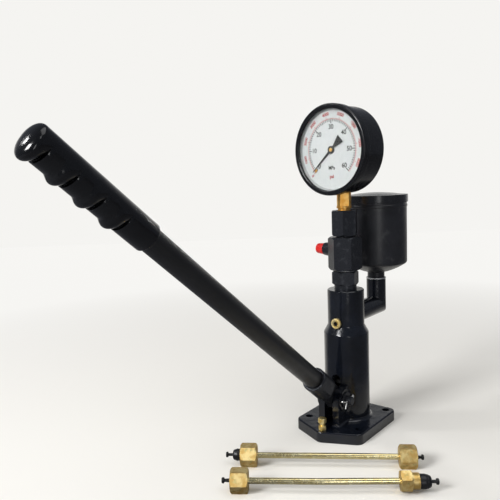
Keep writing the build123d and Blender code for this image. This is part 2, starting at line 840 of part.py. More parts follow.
def gauge_case():
    inner = case_radius - case_wall
    case = gauge_turned([(0, -case_back), (case_radius, -case_back), (case_radius, glass_back),
                         (dial_seat_radius + sliding_gap, glass_back),
                         (dial_seat_radius + sliding_gap, dial_back), (inner, dial_back),
                         (inner, case_back_wall - case_back), (0, case_back_wall - case_back)])
    back_rim = case.edges().filter_by(GeomType.CIRCLE).group_by(Axis.Y)[-1].sort_by(SortBy.LENGTH)
    case = fillet(back_rim[-1], case_back_round)
    hole = ring(stem_radius + stem_hole_gap, -case_radius - cut_overrun, -inner + cut_overrun)
    return on_gauge(case - hole)


def bezel():
    back = bezel_front - bezel_depth
    inner = case_radius + seat_gap
    trim = gauge_turned([(inner, back), (bezel_radius, back), (bezel_radius, bezel_front),
                         (bezel_window_radius, bezel_front), (bezel_window_radius, glass_front),
                         (inner, glass_front)])
    front = trim.edges().filter_by(GeomType.CIRCLE).group_by(Axis.Y)[0].sort_by(SortBy.LENGTH)
    trim = chamfer(front[0], bezel_round)
    outside = trim.edges().filter_by(GeomType.CIRCLE).group_by(Axis.Y)[0].sort_by(SortBy.LENGTH)
    return on_gauge(fillet(outside[-1], bezel_round))


def gauge_glass():
    return on_gauge(gauge_turned([(0, glass_back), (case_radius - seat_gap, glass_back),
                                  (case_radius - seat_gap, glass_front), (0, glass_front)]))


def dial():
    return on_gauge(gauge_turned([(dial_hole_radius, dial_back), (dial_seat_radius, dial_back),
                                  (dial_seat_radius, dial_front), (dial_hole_radius, dial_front)]))


def zero_stop():
    tab = Box(zero_stop_width, zero_stop_height, zero_stop_length)
    place = Pos(0, -dial_front - zero_stop_height / 2, zero_stop_distance)
    return on_gauge(Rot(0, -zero_stop_angle, 0) * place * tab)


# Blade, hub, spindle and pinion turn together about the gauge's axis
def pointer():
    blade = [(pointer_tip_half_width, pointer_length), (pointer_root_half_width, 0),
             (pointer_root_half_width, -pointer_neck),
             (pointer_tail_half_width, -pointer_tail), (-pointer_tail_half_width, -pointer_tail),
             (-pointer_root_half_width, -pointer_neck),
             (-pointer_root_half_width, 0), (-pointer_tip_half_width, pointer_length)]
    flat = make_face(Polyline(*[(x, 0, z) for x, z in blade], close=True))
    middle = pointer_front - pointer_hub_thickness / 2
    blade_solid = Pos(0, -middle, 0) * extrude(flat, pointer_thickness / 2, dir=(0, 1, 0), both=True)
    hub = gauge_turned([(0, pointer_front), (pointer_hub_radius, pointer_front),
                        (pointer_hub_radius, pointer_front - pointer_hub_thickness),
                        (0, pointer_front - pointer_hub_thickness)])
    spindle = gauge_turned([(0, pointer_front), (spindle_radius, pointer_front),
                            (spindle_radius, movement_back()), (0, movement_back())])
    low = sector_back() - sliding_gap
    pinion = gauge_turned([(0, low + sector_thickness + 2 * sliding_gap),
                           (pinion_radius, low + sector_thickness + 2 * sliding_gap),
                           (pinion_radius, low), (0, low)])
    turned_blade = Rot(0, -pointer_rest_angle, 0) * blade_solid
    return on_gauge(turned_blade + hub + spindle + pinion)


def movement_back():
    return stem_block_side / 2


def movement_front():
    return movement_back() + 2 * movement_plate + movement_space


def sector_back():
    return movement_back() + movement_plate + (movement_space - sector_thickness) / 2


# Two plates held apart by four pillars, on the front of the stem's block
def movement_frame():
    height = movement_above_axis + movement_below_axis
    centre = (movement_above_axis - movement_below_axis) / 2
    frame = Part()
    for back in (movement_back(), movement_front() - movement_plate):
        frame += Pos(0, -back - movement_plate / 2, centre) * Box(
            2 * movement_half_width, movement_plate, height)
    x = movement_half_width - pillar_inset
    for z in (movement_above_axis - pillar_inset, pillar_inset - movement_below_axis):
        for side in (x, -x):
            frame += Pos(side, -movement_front() + movement_plate, z) * along_y(
                ring(pillar_radius, 0, movement_space))
    for z in (0, -sector_drop):
        frame -= Pos(0, -movement_front() - cut_overrun, z) * along_y(
            ring(spindle_radius + spindle_clearance, 0, 2 * movement_front()))
    return on_gauge(frame)


# Toothed sector that drives the pointer's pinion, drawn smooth just clear of the pinion
def movement_sector():
    reach = sector_drop - pinion_radius - tooth_gap
    half = radians(sector_half_angle)
    rim = ThreePointArc((-reach * sin(half), reach * cos(half)), (0, reach),
                        (reach * sin(half), reach * cos(half)))
    fan = make_face([rim, Line(rim @ 1, (0, 0)), Line((0, 0), rim @ 0)])
    shape = fan + Circle(sector_hub_radius)
    plate = extrude(Plane.XZ * shape, sector_thickness / 2, both=True)
    shaft = along_y(ring(spindle_radius, -sector_thickness / 2 - movement_space / 2,
                         sector_thickness / 2 + movement_space / 2))
    sector = Rot(0, sector_swing / 2, 0) * (plate + shaft)
    return on_gauge(Pos(0, -sector_back() - sector_thickness / 2, -sector_drop) * sector)


# Flattened spring tube bent round the gauge's axis from the stem's block
def bourdon_tube():
    flat = bourdon_half_width - bourdon_half_thickness
    corners = [(bourdon_half_thickness, flat), (0, bourdon_half_width),
               (-bourdon_half_thickness, flat), (-bourdon_half_thickness, -flat),
               (0, -bourdon_half_width), (bourdon_half_thickness, -flat)]
    section = Pos(bourdon_radius, 0) * make_face(Polyline(*corners, close=True))
    tube = revolve(section, Axis.Y, bourdon_sweep)
    return on_gauge(Rot(0, 90 + bourdon_start_angle, 0) * tube)


# Round-bottomed form shared by the outside and the inside of the tank
def tank_form(radius, dish_bottom, rise, corner, top):
    dish_start = tank_neck_radius - tank_neck_wall
    knee_height = dish_bottom + rise
    reach = hypot(radius - dish_start, rise)
    middle_radius = (dish_start + radius) / 2 + tank_dish_bulge * rise / reach
    middle_height = dish_bottom + rise / 2 - tank_dish_bulge * (radius - dish_start) / reach
    dish = ThreePointArc((dish_start, 0, dish_bottom), (middle_radius, 0, middle_height),
                         (radius, 0, knee_height))
    rest = Polyline((radius, 0, knee_height), (radius, 0, top), (0, 0, top), (0, 0, dish_bottom),
                    (dish_start, 0, dish_bottom))
    side = make_face([dish, rest])
    knee = side.vertices().sort_by(Axis.X)[-2:].sort_by(Axis.Z)[0]
    return revolve(fillet(knee, corner), Axis.Z)


def tank_shell():
    shell = tank_form(tank_radius, tank_dish_bottom, tank_dish_rise, tank_corner_radius, tank_top)
    shell += ring(tank_neck_radius, tank_neck_bottom, tank_dish_bottom + tank_wall)
    shell += ring(tank_spigot_radius - seat_gap, tank_neck_bottom - tank_spigot_length,
                  tank_neck_bottom)
    bead = [(tank_radius - tank_wall / 2, tank_bead_height - tank_bead_half_height),
            (tank_radius, tank_bead_height - tank_bead_half_height),
            (tank_radius + tank_bead_depth, tank_bead_height - tank_bead_half_height / 2),
            (tank_radius + tank_bead_depth, tank_bead_height + tank_bead_half_height / 2),
            (tank_radius, tank_bead_height + tank_bead_half_height),
            (tank_radius - tank_wall / 2, tank_bead_height + tank_bead_half_height)]
    shell += turned(bead)
    shell -= tank_form(tank_radius - tank_wall, tank_dish_bottom + tank_wall, tank_dish_rise,
                       tank_corner_radius - tank_wall, tank_top + cut_overrun)
    step = tank_neck_bottom + strainer_step
    shell -= ring(tank_neck_radius - tank_neck_wall, step, tank_dish_bottom + tank_wall + cut_overrun)
    shell -= ring(elbow_bore - seat_gap, tank_neck_bottom - tank_spigot_length - cut_overrun,
                  step + cut_overrun)
    return Pos(0, tank_centre, 0) * shell


def tank_lid():
    inner = tank_radius + lid_side_gap
    outer = inner + lid_wall
    under = tank_top + sliding_gap
    rim = under + lid_rim_height
    flat = outer * lid_flat_share
    sphere = (flat**2 + lid_dome**2) / (2 * lid_dome)
    dome = ThreePointArc((0, rim + lid_dome),
                         (flat / 2, rim + lid_dome - sphere + sqrt(sphere**2 - flat**2 / 4)),
                         (flat, rim))
    outline = [dome, Polyline((flat, rim), (outer - lid_edge_round, rim),
                              (outer, rim - lid_edge_round), (outer, under - lid_skirt),
                              (inner, under - lid_skirt), (inner, under), (0, under),
                              (0, rim + lid_dome))]
    return Pos(0, tank_centre, 0) * revolve(Plane.XZ * make_face(outline), Axis.Z)


def tank_strainer():
    bottom = tank_neck_bottom + strainer_step
    radius = tank_neck_radius - tank_neck_wall - sliding_gap
    cup = ring(radius, bottom, bottom + strainer_height)
    cup -= ring(radius - strainer_wall, bottom - cut_overrun, bottom + strainer_height - strainer_wall)
    return Pos(0, tank_centre, 0) * cup


def tank_washer():
    return Pos(0, tank_centre, 0) * ring(tank_washer_radius, elbow_top, tank_neck_bottom,
                                         tank_spigot_radius + seat_gap)


# Mitred elbow: level leg from the column, upright leg to the tank
def elbow():
    corner = (0, tank_centre, elbow_height)
    path = Polyline((0, elbow_face, elbow_height), corner, (0, tank_centre, elbow_top))
    start = Plane((0, elbow_face, elbow_height), z_dir=(0, 1, 0))
    outside = sweep(start * Circle(elbow_radius), path, transition=Transition.RIGHT)
    outside += Pos(0, barrel_bore_radius + seat_gap, elbow_height) * along_y(
        ring(elbow_spigot_radius, 0, elbow_face - barrel_bore_radius))
    bore_start = Plane((0, 0, elbow_height), z_dir=(0, 1, 0))
    bore_path = Polyline((0, 0, elbow_height), corner, (0, tank_centre, elbow_top + cut_overrun))
    inside = sweep(bore_start * Circle(elbow_bore), bore_path, transition=Transition.RIGHT)
    inside += Pos(0, tank_centre, 0) * ring(
        tank_spigot_radius, elbow_top - tank_spigot_length, elbow_top + cut_overrun)
    return outside - inside


# Plug pieces are made along +Z from the column axis, then laid to face -Y
def on_plug(solid):
    return Pos(0, 0, plug_height) * Rot(90, 0, 0) * solid


def bleed_plug():
    seat = spot_face_plug + plug_washer_thickness
    plug = ring(plug_thread_radius, barrel_bore_radius + seat_gap, seat)
    plug += ring(plug_head_radius, seat, seat + plug_head_thickness)
    rim = plug.edges().filter_by(GeomType.CIRCLE).sort_by(Axis.Z)[-1]
    plug = chamfer(rim, column_top_edge)
    socket = Pos(0, 0, seat + plug_head_thickness - plug_socket_depth) * extrude(
        RegularPolygon(plug_socket / 2 / cos(radians(hexagon_half_corner)), 6),
        plug_socket_depth + cut_overrun)
    return on_plug(plug - socket)


def bleed_plug_washer():
    return on_plug(ring(plug_washer_radius, spot_face_plug, spot_face_plug + plug_washer_thickness,
                        plug_thread_radius + seat_gap))


# Pipe pieces are made along +X from the middle of the pipe, then laid on the bench
def on_pipe(solid, centre, turn):
    return Pos(centre[0], centre[1], pipe_height) * Rot(0, 0, turn) * solid


def along_x(solid):
    return Rot(0, 90, 0) * solid


# Union nut with its mouth at the far end and the pipe through its back wall
def pipe_nut():
    nut = hexagon(pipe_nut_hex, -pipe_nut_length, 0)
    nut -= ring(pipe_nut_mouth_radius, pipe_nut_back_wall - pipe_nut_length, cut_overrun)
    return nut - ring(pipe_radius + sliding_gap, -pipe_nut_length - cut_overrun, 0)


# Upset nose on the end of a pipe, held inside its nut
def pipe_nose():
    seat = pipe_nut_back_wall - pipe_nut_length + seat_gap
    cone_start = seat + pipe_nose_radius / 2
    tip = seat + pipe_nose_length
    return turned([(0, seat), (pipe_nose_radius, seat), (pipe_nose_radius, cone_start),
                   (pipe_radius, tip), (0, tip)])


# Rubber cap: a plug for a nut's mouth or a sleeve over a thread, with a flat pull tab
def cap_tab(start):
    neck_end = start + plug_tab_length - 2 * plug_tab_half_thickness
    tab = Pos(0, 0, start) * Box(2 * plug_tab_half_thickness, 2 * plug_tab_neck_half_width,
                                 neck_end - start, align=base_align)
    return tab + Pos(0, 0, neck_end) * Box(
        2 * plug_tab_half_thickness, 2 * plug_tab_half_width, 2 * plug_tab_half_thickness,
        align=base_align)


def mouth_cap():
    body = turned([(0, sliding_gap - plug_cap_insert), (plug_cap_radius, sliding_gap - plug_cap_insert),
                   (plug_cap_radius, sliding_gap), (plug_cap_flange_radius, sliding_gap),
                   (plug_cap_flange_radius, sliding_gap + plug_cap_flange),
                   (plug_cap_radius, sliding_gap + plug_cap_flange),
                   (plug_cap_radius, plug_cap_length), (0, plug_cap_length)])
    return body + cap_tab(plug_cap_length)


def thread_cap():
    inner = union_thread_radius + sliding_gap
    outer = inner + cover_cap_wall
    end = union_thread_length + cover_cap_wall + 2 * sliding_gap
    body = ring(outer, sliding_gap, end)
    body -= ring(inner, -cut_overrun, union_thread_length + 2 * sliding_gap)
    return body + cap_tab(end)


def pipe_a_tube():
    half = pipe_a_length / 2
    bar_end = half - pipe_nut_length + pipe_nut_back_wall + pipe_nose_length / 2
    bar = ring(pipe_radius, -bar_end, bar_end)
    for side in (0, 180):
        bar += Rot(0, side, 0) * Pos(0, 0, half) * pipe_nose()
    bar -= ring(pipe_bore_radius, -half - cut_overrun, half + cut_overrun)
    return on_pipe(along_x(bar), pipe_a_centre, pipe_a_turn)


def pipe_a_nuts():
    nuts = Part()
    for side in (0, 180):
        nuts += Rot(0, 0, side) * along_x(Pos(0, 0, pipe_a_length / 2) * pipe_nut())
    return on_pipe(nuts, pipe_a_centre, pipe_a_turn)


def pipe_a_cap(side):
    cap = along_x(Pos(0, 0, pipe_a_length / 2) * mouth_cap())
    return on_pipe(Rot(0, 0, side) * cap, pipe_a_centre, pipe_a_turn)


# The second pipe is a little bowed and ends in a union with its own thread
def pipe_b_tube():
    half = pipe_b_length / 2
    seat = half - pipe_nut_length + pipe_nut_back_wall + pipe_nose_length / 2
    bend_start = half - pipe_nut_length - pipe_b_straight_end
    union_back = half - union_collar_length - union_hex_length
    bow = FilletPolyline((-seat, 0, 0), (-bend_start, 0, 0), (0, -pipe_b_bow, 0),
                         (union_back - pipe_b_straight_end, 0, 0),
                         (union_back + union_socket_depth - sliding_gap, 0, 0),
                         radius=pipe_b_bend_radius)
    bar = sweep(Plane(bow @ 0, z_dir=bow % 0) * Circle(pipe_radius), bow)
    bar += Rot(0, 0, 180) * along_x(Pos(0, 0, half) * pipe_nose())
    return on_pipe(bar, pipe_b_centre, pipe_b_turn)


def pipe_b_nut():
    nut = Rot(0, 0, 180) * along_x(Pos(0, 0, pipe_b_length / 2) * pipe_nut())
    return on_pipe(nut, pipe_b_centre, pipe_b_turn)


def pipe_b_union():
    half = pipe_b_length / 2
    hex_end = half - union_collar_length
    union = hexagon(union_hex, hex_end - union_hex_length, hex_end, hexagon_half_corner)
    union += ring(union_collar_radius, hex_end, half)
    union += ring(union_thread_radius, half, half + union_thread_length)
    union_back = hex_end - union_hex_length
    union -= ring(pipe_bore_radius, union_back, half + union_thread_length + cut_overrun)
    union -= ring(pipe_radius + sliding_gap, union_back - cut_overrun,
                  union_back + union_socket_depth)
    return on_pipe(along_x(union), pipe_b_centre, pipe_b_turn)


def pipe_b_nut_cap():
    cap = Rot(0, 0, 180) * along_x(Pos(0, 0, pipe_b_length / 2) * mouth_cap())
    return on_pipe(cap, pipe_b_centre, pipe_b_turn)


def pipe_b_union_cap():
    cap = along_x(Pos(0, 0, pipe_b_length / 2) * thread_cap())
    return on_pipe(cap, pipe_b_centre, pipe_b_turn)


nodes = {
    "body_casting": body_casting, "stop_screw": stop_screw, "stop_screw_nut": stop_screw_nut,
    "lever_head": lever_head, "lever_tube": lever_tube, "lever_grip": lever_grip,
    "pivot_pin": pivot_pin, "pivot_washer": pivot_washer, "split_pin": split_pin,
    "plunger": plunger, "spring_seat": spring_seat, "return_spring": return_spring,
    "plunger_barrel": plunger_barrel, "delivery_valve_seat": delivery_valve_seat,
    "delivery_valve": delivery_valve, "delivery_valve_spring": delivery_valve_spring,
    "valve_holder": valve_holder, "block_washer": block_washer, "valve_block": valve_block,
    "outlet_nipple": outlet_nipple, "outlet_cap": outlet_cap, "gauge_seal": gauge_seal,
    "gauge_nut": gauge_nut, "gauge_stem": gauge_stem, "bourdon_tube": bourdon_tube,
    "movement_frame": movement_frame, "movement_sector": movement_sector,
    "gauge_case": gauge_case, "bezel": bezel, "gauge_glass": gauge_glass, "dial": dial,
    "zero_stop": zero_stop, "pointer": pointer, "tank_shell": tank_shell, "tank_lid": tank_lid,
    "tank_strainer": tank_strainer, "tank_washer": tank_washer, "elbow": elbow,
    "bleed_plug": bleed_plug, "bleed_plug_washer": bleed_plug_washer,
    "pipe_a_tube": pipe_a_tube, "pipe_a_nuts": pipe_a_nuts,
    "pipe_b_tube": pipe_b_tube, "pipe_b_nut": pipe_b_nut, "pipe_b_union": pipe_b_union,
    "pipe_b_nut_cap": pipe_b_nut_cap, "pipe_b_union_cap": pipe_b_union_cap,
}

os.makedirs("parts", exist_ok=True)
for name, make in nodes.items():
    export_step(make(), f"parts/{name}.step")
for name, side in (("pipe_a_right_cap", 0), ("pipe_a_left_cap", 180)):
    export_step(pipe_a_cap(side), f"parts/{name}.step")
print("lever swing", round(lever_swing(), 2), "degrees down from rest")
print("plunger stroke", round(plunger_stroke(), 2), "mm")
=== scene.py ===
import bpy
import bmesh
import json
import math
import numpy as np
from mathutils import Matrix, Vector

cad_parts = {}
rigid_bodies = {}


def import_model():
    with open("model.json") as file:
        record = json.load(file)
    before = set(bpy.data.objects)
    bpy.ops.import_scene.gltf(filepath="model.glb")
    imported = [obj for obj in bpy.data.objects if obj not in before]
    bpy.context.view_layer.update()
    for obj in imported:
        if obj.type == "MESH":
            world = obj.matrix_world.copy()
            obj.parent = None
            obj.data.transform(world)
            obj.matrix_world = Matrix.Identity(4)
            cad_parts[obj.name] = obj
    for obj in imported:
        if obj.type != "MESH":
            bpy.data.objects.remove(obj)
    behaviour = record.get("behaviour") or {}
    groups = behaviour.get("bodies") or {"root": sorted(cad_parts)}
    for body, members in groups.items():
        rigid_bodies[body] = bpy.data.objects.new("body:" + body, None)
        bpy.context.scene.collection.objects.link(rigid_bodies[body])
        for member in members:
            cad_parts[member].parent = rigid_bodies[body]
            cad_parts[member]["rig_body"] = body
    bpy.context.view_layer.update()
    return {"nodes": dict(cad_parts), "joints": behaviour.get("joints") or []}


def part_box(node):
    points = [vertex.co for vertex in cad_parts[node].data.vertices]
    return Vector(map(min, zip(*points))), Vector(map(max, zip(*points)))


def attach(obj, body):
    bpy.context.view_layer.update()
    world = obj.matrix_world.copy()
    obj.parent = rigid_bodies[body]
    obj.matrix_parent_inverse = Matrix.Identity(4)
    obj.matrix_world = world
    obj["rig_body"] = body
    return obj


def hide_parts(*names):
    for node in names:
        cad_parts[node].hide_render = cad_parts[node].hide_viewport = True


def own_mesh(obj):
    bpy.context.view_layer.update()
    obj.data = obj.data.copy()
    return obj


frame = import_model()
nodes = frame["nodes"]
mm = 0.001
print("frame loaded:", len(nodes), "nodes")


def linearColour(hexText):
    # sRGB hex to linear light: the power curve above 0.04045, the straight foot below it
    raw = [int(hexText[i:i + 2], 16) / 255 for i in (1, 3, 5)]
    return [c / 12.92 if c <= 0.04045 else ((c + 0.055) / 1.055) ** 2.4 for c in raw] + [1.0]


def addNode(tree, kind, links=None, **settings):
    # links: input name -> output socket; settings: attribute or input name -> value
    node = tree.nodes.new(kind)
    for name, value in settings.items():
        if hasattr(node, name):
            setattr(node, name, value)
        else:
            node.inputs[name.replace("_", " ")].default_value = value
    for name, socket in (links or {}).items():
        tree.links.new(socket, node.inputs[name])
    return node


def startMaterial(name, **sockets):
    # a new material with one Principled shader; where is the point in object coordinates
    material = bpy.data.materials.new(name)
    material.use_nodes = True
    tree = material.node_tree
    tree.nodes.clear()
    shader = addNode(tree, "ShaderNodeBsdfPrincipled")
    for socket, value in sockets.items():
        shader.inputs[socket.replace("_", " ")].default_value = value
    out = addNode(tree, "ShaderNodeOutputMaterial")
    tree.links.new(shader.outputs[0], out.inputs[0])
    where = addNode(tree, "ShaderNodeTexCoord").outputs["Object"]
    return material, tree, shader, where


def noiseAt(tree, where, sizeMm, detail, roughness=0.5, stretch=None):
    # noise whose blotches are sizeMm across, stretched along one axis where asked
    if stretch:
        where = addNode(tree, "ShaderNodeMapping", {"Vector": where}, Scale=stretch).outputs[0]
    return addNode(tree, "ShaderNodeTexNoise", {"Vector": where}, Scale=1 / (sizeMm * mm),
                   Detail=detail, Roughness=roughness).outputs["Fac"]


def rampBetween(tree, factor, low, high, lowValue=0, highValue=1):
    # straight-line remap of factor from low..high to the two values, held at both ends
    return addNode(tree, "ShaderNodeMapRange", {"Value": factor}, clamp=True, From_Min=low,
                   From_Max=high, To_Min=lowValue, To_Max=highValue).outputs[0]


def mathNode(tree, operation, first, second):
    # the operation on two sockets
    node = addNode(tree, "ShaderNodeMath", operation=operation)
    tree.links.new(first, node.inputs[0])
    tree.links.new(second, node.inputs[1])
    return node.outputs[0]


def mixColours(tree, factor, first, second):
    # a straight mix, first at factor 0 and second at 1; each is a hex text or a socket
    node = addNode(tree, "ShaderNodeMix", data_type="RGBA")
    tree.links.new(factor, node.inputs[0])
    for socket, value in ((node.inputs[6], first), (node.inputs[7], second)):
        if isinstance(value, str):
            socket.default_value = linearColour(value)
        else:
            tree.links.new(value, socket)
    return node.outputs[2]


def addBump(tree, shader, *layers):
    # each layer is (height socket, depth in mm); they add up in one chain of bumps
    below = None
    for height, depth in layers:
        links = {"Height": height}
        if below:
            links["Normal"] = below
        below = addNode(tree, "ShaderNodeBump", links, Distance=depth * mm,
                        Strength=1.0).outputs[0]
    tree.links.new(below, shader.inputs["Normal"])


def tintDrift(tree, where, sizeMm, detail, low, high, deep, light):
    # two tints that drift into each other in blotches of the given size
    cloud = rampBetween(tree, noiseAt(tree, where, sizeMm, detail), low, high)
    return mixColours(tree, cloud, deep, light)


def dressSurface(tree, shader, colour, roughness, *layers):
    # colour and roughness sockets into the shader, then the bump layers
    tree.links.new(colour, shader.inputs["Base Color"])
    tree.links.new(roughness, shader.inputs["Roughness"])
    addBump(tree, shader, *layers)


def paintedIron():
    # glossy black enamel sprayed on grey iron: the skin is slightly wavy from the sand mould,
    # with fine orange peel on top, so reflections break up into soft streaks
    material, tree, shader, where = startMaterial(
        "blackEnamelOnIron", IOR=1.5, Coat_Weight=0.1, Coat_Roughness=0.05)
    colour = tintDrift(tree, where, 22, 4, 0.35, 0.7, "#06080d", "#0f131c")
    fine = noiseAt(tree, where, 9, 3)
    dressSurface(tree, shader, colour, rampBetween(tree, fine, 0.3, 0.75, 0.14, 0.24),
                 (noiseAt(tree, where, 13, 2), 0.4), (noiseAt(tree, where, 3.2, 2), 0.02))
    return material


def powderCoat(name, deep, light, roughness, dust=0.0):
    # polyester powder coat: even satin black with a grain just under a millimetre, and where
    # asked faint handling smudges a centimetre wide
    material, tree, shader, where = startMaterial(name, IOR=1.5, Coat_Weight=0.05,
                                                  Coat_Roughness=0.3)
    skin = tintDrift(tree, where, 18, 4, 0.35, 0.7, deep, light)
    smudge = rampBetween(tree, noiseAt(tree, where, 10, 5, 0.65), 0.55, 0.72, 0, dust)
    grain = noiseAt(tree, where, 0.9, 2)
    dressSurface(tree, shader, mixColours(tree, smudge, skin, "#8a8a8c"),
                 rampBetween(tree, grain, 0.3, 0.7, roughness - 0.06, roughness + 0.07),
                 (grain, 0.045))
    return material


def blackOxide():
    # hot black oxide on milled steel: dark satin skin over metal, thinner along worn spots
    material, tree, shader, where = startMaterial("blackOxideSteel", Metallic=0.55, IOR=1.5)
    colour = tintDrift(tree, where, 7, 5, 0.56, 0.74, "#2a2c31", "#45474c")
    marks = noiseAt(tree, where, 2.0, 3, 0.6, (1, 1, 6))
    dressSurface(tree, shader, colour, rampBetween(tree, marks, 0.3, 0.7, 0.24, 0.38),
                 (marks, 0.03))
    return material


def coatedTube():
    # satin black coating on drawn tube: the tint drifts over centimetres, the gloss over half a
    # centimetre, and the skin has a fine grain
    material, tree, shader, where = startMaterial("satinCoatedTube", IOR=1.5, Coat_Weight=0.05,
                                                  Coat_Roughness=0.25)
    colour = tintDrift(tree, where, 30, 4, 0.3, 0.7, "#0d0d0e", "#161617")
    smear = noiseAt(tree, where, 5, 3)
    dressSurface(tree, shader, colour, rampBetween(tree, smear, 0.3, 0.7, 0.3, 0.42),
                 (noiseAt(tree, where, 1.2, 2), 0.03))
    return material


def softVinyl():
    # dipped soft vinyl: deep black, wet gloss, and slow waves where it cooled
    material, tree, shader, where = startMaterial("glossyVinyl", IOR=1.5)
    colour = tintDrift(tree, where, 26, 3, 0.3, 0.7, "#040405", "#090a0c")
    smear = noiseAt(tree, where, 6, 3)
    dressSurface(tree, shader, colour, rampBetween(tree, smear, 0.3, 0.7, 0.1, 0.2),
                 (noiseAt(tree, where, 16, 2), 0.2))
    return material


def plainMetal(name, deep, light, roughness, blotchMm=6, markMm=0.8):
    # bare or plated metal: colour drifts over a few millimetres, fine turning marks on top
    material, tree, shader, where = startMaterial(name, Metallic=1.0)
    colour = tintDrift(tree, where, blotchMm, 4, 0.35, 0.68, deep, light)
    marks = noiseAt(tree, where, markMm, 3)
    dressSurface(tree, shader, colour,
                 rampBetween(tree, marks, 0.3, 0.7, roughness - 0.07, roughness + 0.1),
                 (marks, 0.015))
    return material


def yellowZinc(name, straw, tint, roughness, filmShare=0.45, depth=0.02):
    # yellow passivated zinc: straw gold that drifts between two tints, under olive green films a
    # few mm wide
    material, tree, shader, where = startMaterial(name, Metallic=1.0)
    base = tintDrift(tree, where, 6, 4, 0.4, 0.62, straw, tint)
    film = rampBetween(tree, noiseAt(tree, where, 4.3, 2), 0.56, 0.72, 0, filmShare)
    marks = noiseAt(tree, where, 0.9, 3)
    dressSurface(tree, shader, mixColours(tree, film, base, "#9aa06a"),
                 rampBetween(tree, marks, 0.3, 0.7, roughness - 0.06, roughness + 0.12),
                 (marks, depth))
    return material


def mouldedPlastic(name, deep, light, roughness, grainMm, depth, waxy=0.0):
    # moulded part: nearly even colour with a fine mould grain
    material, tree, shader, where = startMaterial(name, IOR=1.5, Subsurface_Weight=waxy,
                                                  Subsurface_Radius=(0.003, 0.0008, 0.0006))
    colour = tintDrift(tree, where, 5, 3, 0.3, 0.7, deep, light)
    grain = noiseAt(tree, where, grainMm, 2)
    dressSurface(tree, shader, colour,
                 rampBetween(tree, grain, 0.3, 0.7, roughness - 0.05, roughness + 0.06),
                 (grain, depth))
    return material


def floatGlass():
    # clear float glass: no tint to speak of over 2 mm, and very faint smears in its gloss
    material, tree, shader, where = startMaterial(
        "clearFloatGlass", Base_Color=linearColour("#fbfdfc"), IOR=1.5, Transmission_Weight=1.0)
    smear = rampBetween(tree, noiseAt(tree, where, 25, 3), 0.5, 0.9, 0.0, 0.03)
    tree.links.new(smear, shader.inputs["Roughness"])
    return material


# After the name and the two tints comes the roughness; then for powderCoat its dust, for
# plainMetal blotches and marks in mm, for yellowZinc film share and bump in mm, and for
# mouldedPlastic grain and bump in mm and how waxy it is
finishes = {
    "iron": paintedIron(),
    "tank": powderCoat("satinPowderCoat", "#17181c", "#1f2025", 0.34, 0.1),
    "lid": powderCoat("satinLidEnamel", "#17181b", "#202125", 0.22),
    "gaugeCase": powderCoat("semiGlossEnamel", "#070709", "#0e0e10", 0.22),
    "oxide": blackOxide(),
    "tube": coatedTube(),
    "vinyl": softVinyl(),
    "softAluminium": plainMetal("softAluminium", "#dcdcda", "#efefec", 0.5),
    "ground": plainMetal("groundSteel", "#8d8d8c", "#a8a8a6", 0.25, 9, 0.5),
    "springSteel": plainMetal("oiledSpringWire", "#4c4c4e", "#6a6a6c", 0.32),
    "brass": plainMetal("turnedBrass", "#dfa048", "#f4c876", 0.38, 5, 0.6),
    "copper": plainMetal("softCopper", "#a8613a", "#c98257", 0.35),
    "screwZinc": yellowZinc("yellowZincScrew", "#e9c872", "#f8e6ac", 0.36),
    "rimZinc": plainMetal("turnedZincRim", "#f2d68c", "#fdf0c4", 0.55),
    "pinZinc": plainMetal("brightZincWire", "#e6e6e2", "#f6f6f2", 0.5),
    "nutZinc": yellowZinc("yellowZincNut", "#deb86c", "#f8e09e", 0.43),
    "pipe": yellowZinc("yellowZincPipe", "#ead89c", "#faeebc", 0.2, 0.15, 0.004),
    "redCap": mouldedPlastic("redPolyethylene", "#b81410", "#d6241b", 0.38, 0.8, 0.02, 0.15),
    "rubber": mouldedPlastic("mouldedRubber", "#070708", "#0e0e10", 0.36, 0.6, 0.03),
    "dialRing": mouldedPlastic("greyDialRing", "#c4c6c8", "#cfd1d2", 0.5, 0.5, 0.004),
    "dialWhite": mouldedPlastic("whiteDialEnamel", "#f0f1f2", "#f6f7f8", 0.45, 0.5, 0.004),
    "blackInk": mouldedPlastic("blackDialInk", "#101011", "#1a1a1b", 0.5, 0.5, 0.002),
    "redInk": mouldedPlastic("redDialInk", "#bf2a22", "#cc382e", 0.5, 0.5, 0.002),
    # painted shade: dark colour for the lining that darkens the bleed plug's socket
    "socketShadeLining": mouldedPlastic("paintedSocketShadeFilm", "#120d0b", "#221913", 0.3, 0.5, 0.01),
    "pointerBlack": mouldedPlastic("mattPointerPaint", "#0a0a0a", "#121212", 0.45, 0.5, 0.01),
    "glass": floatGlass(),
}
print("materials made:", len(finishes))


def sharpen(mesh, angle):
    # faces shade smooth, and edges that turn by more than the angle stay crisp
    mesh.polygons.foreach_set("use_smooth", [True] * len(mesh.polygons))
    mesh.set_sharp_from_angle(angle=math.radians(angle))


def addObject(name, data):
    # the data as an object of the scene, at the origin
    made = bpy.data.objects.new(name, data)
    bpy.context.scene.collection.objects.link(made)
    return made


def addPiece(name, mesh, finish, body, replaced=()):
    # a piece at the origin that rides its body and stands for the CAD nodes it replaces
    piece = addObject(name, mesh)
    mesh.materials.append(finishes[finish])
    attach(piece, body)
    if replaced:
        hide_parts(*replaced)
    return piece


def weightNormals(piece):
    # normals weighted by face area, so that a broken edge doesn't shade the flats beside it
    modifier = piece.modifiers.new("evenShading", "WEIGHTED_NORMAL")
    modifier.keep_sharp = True


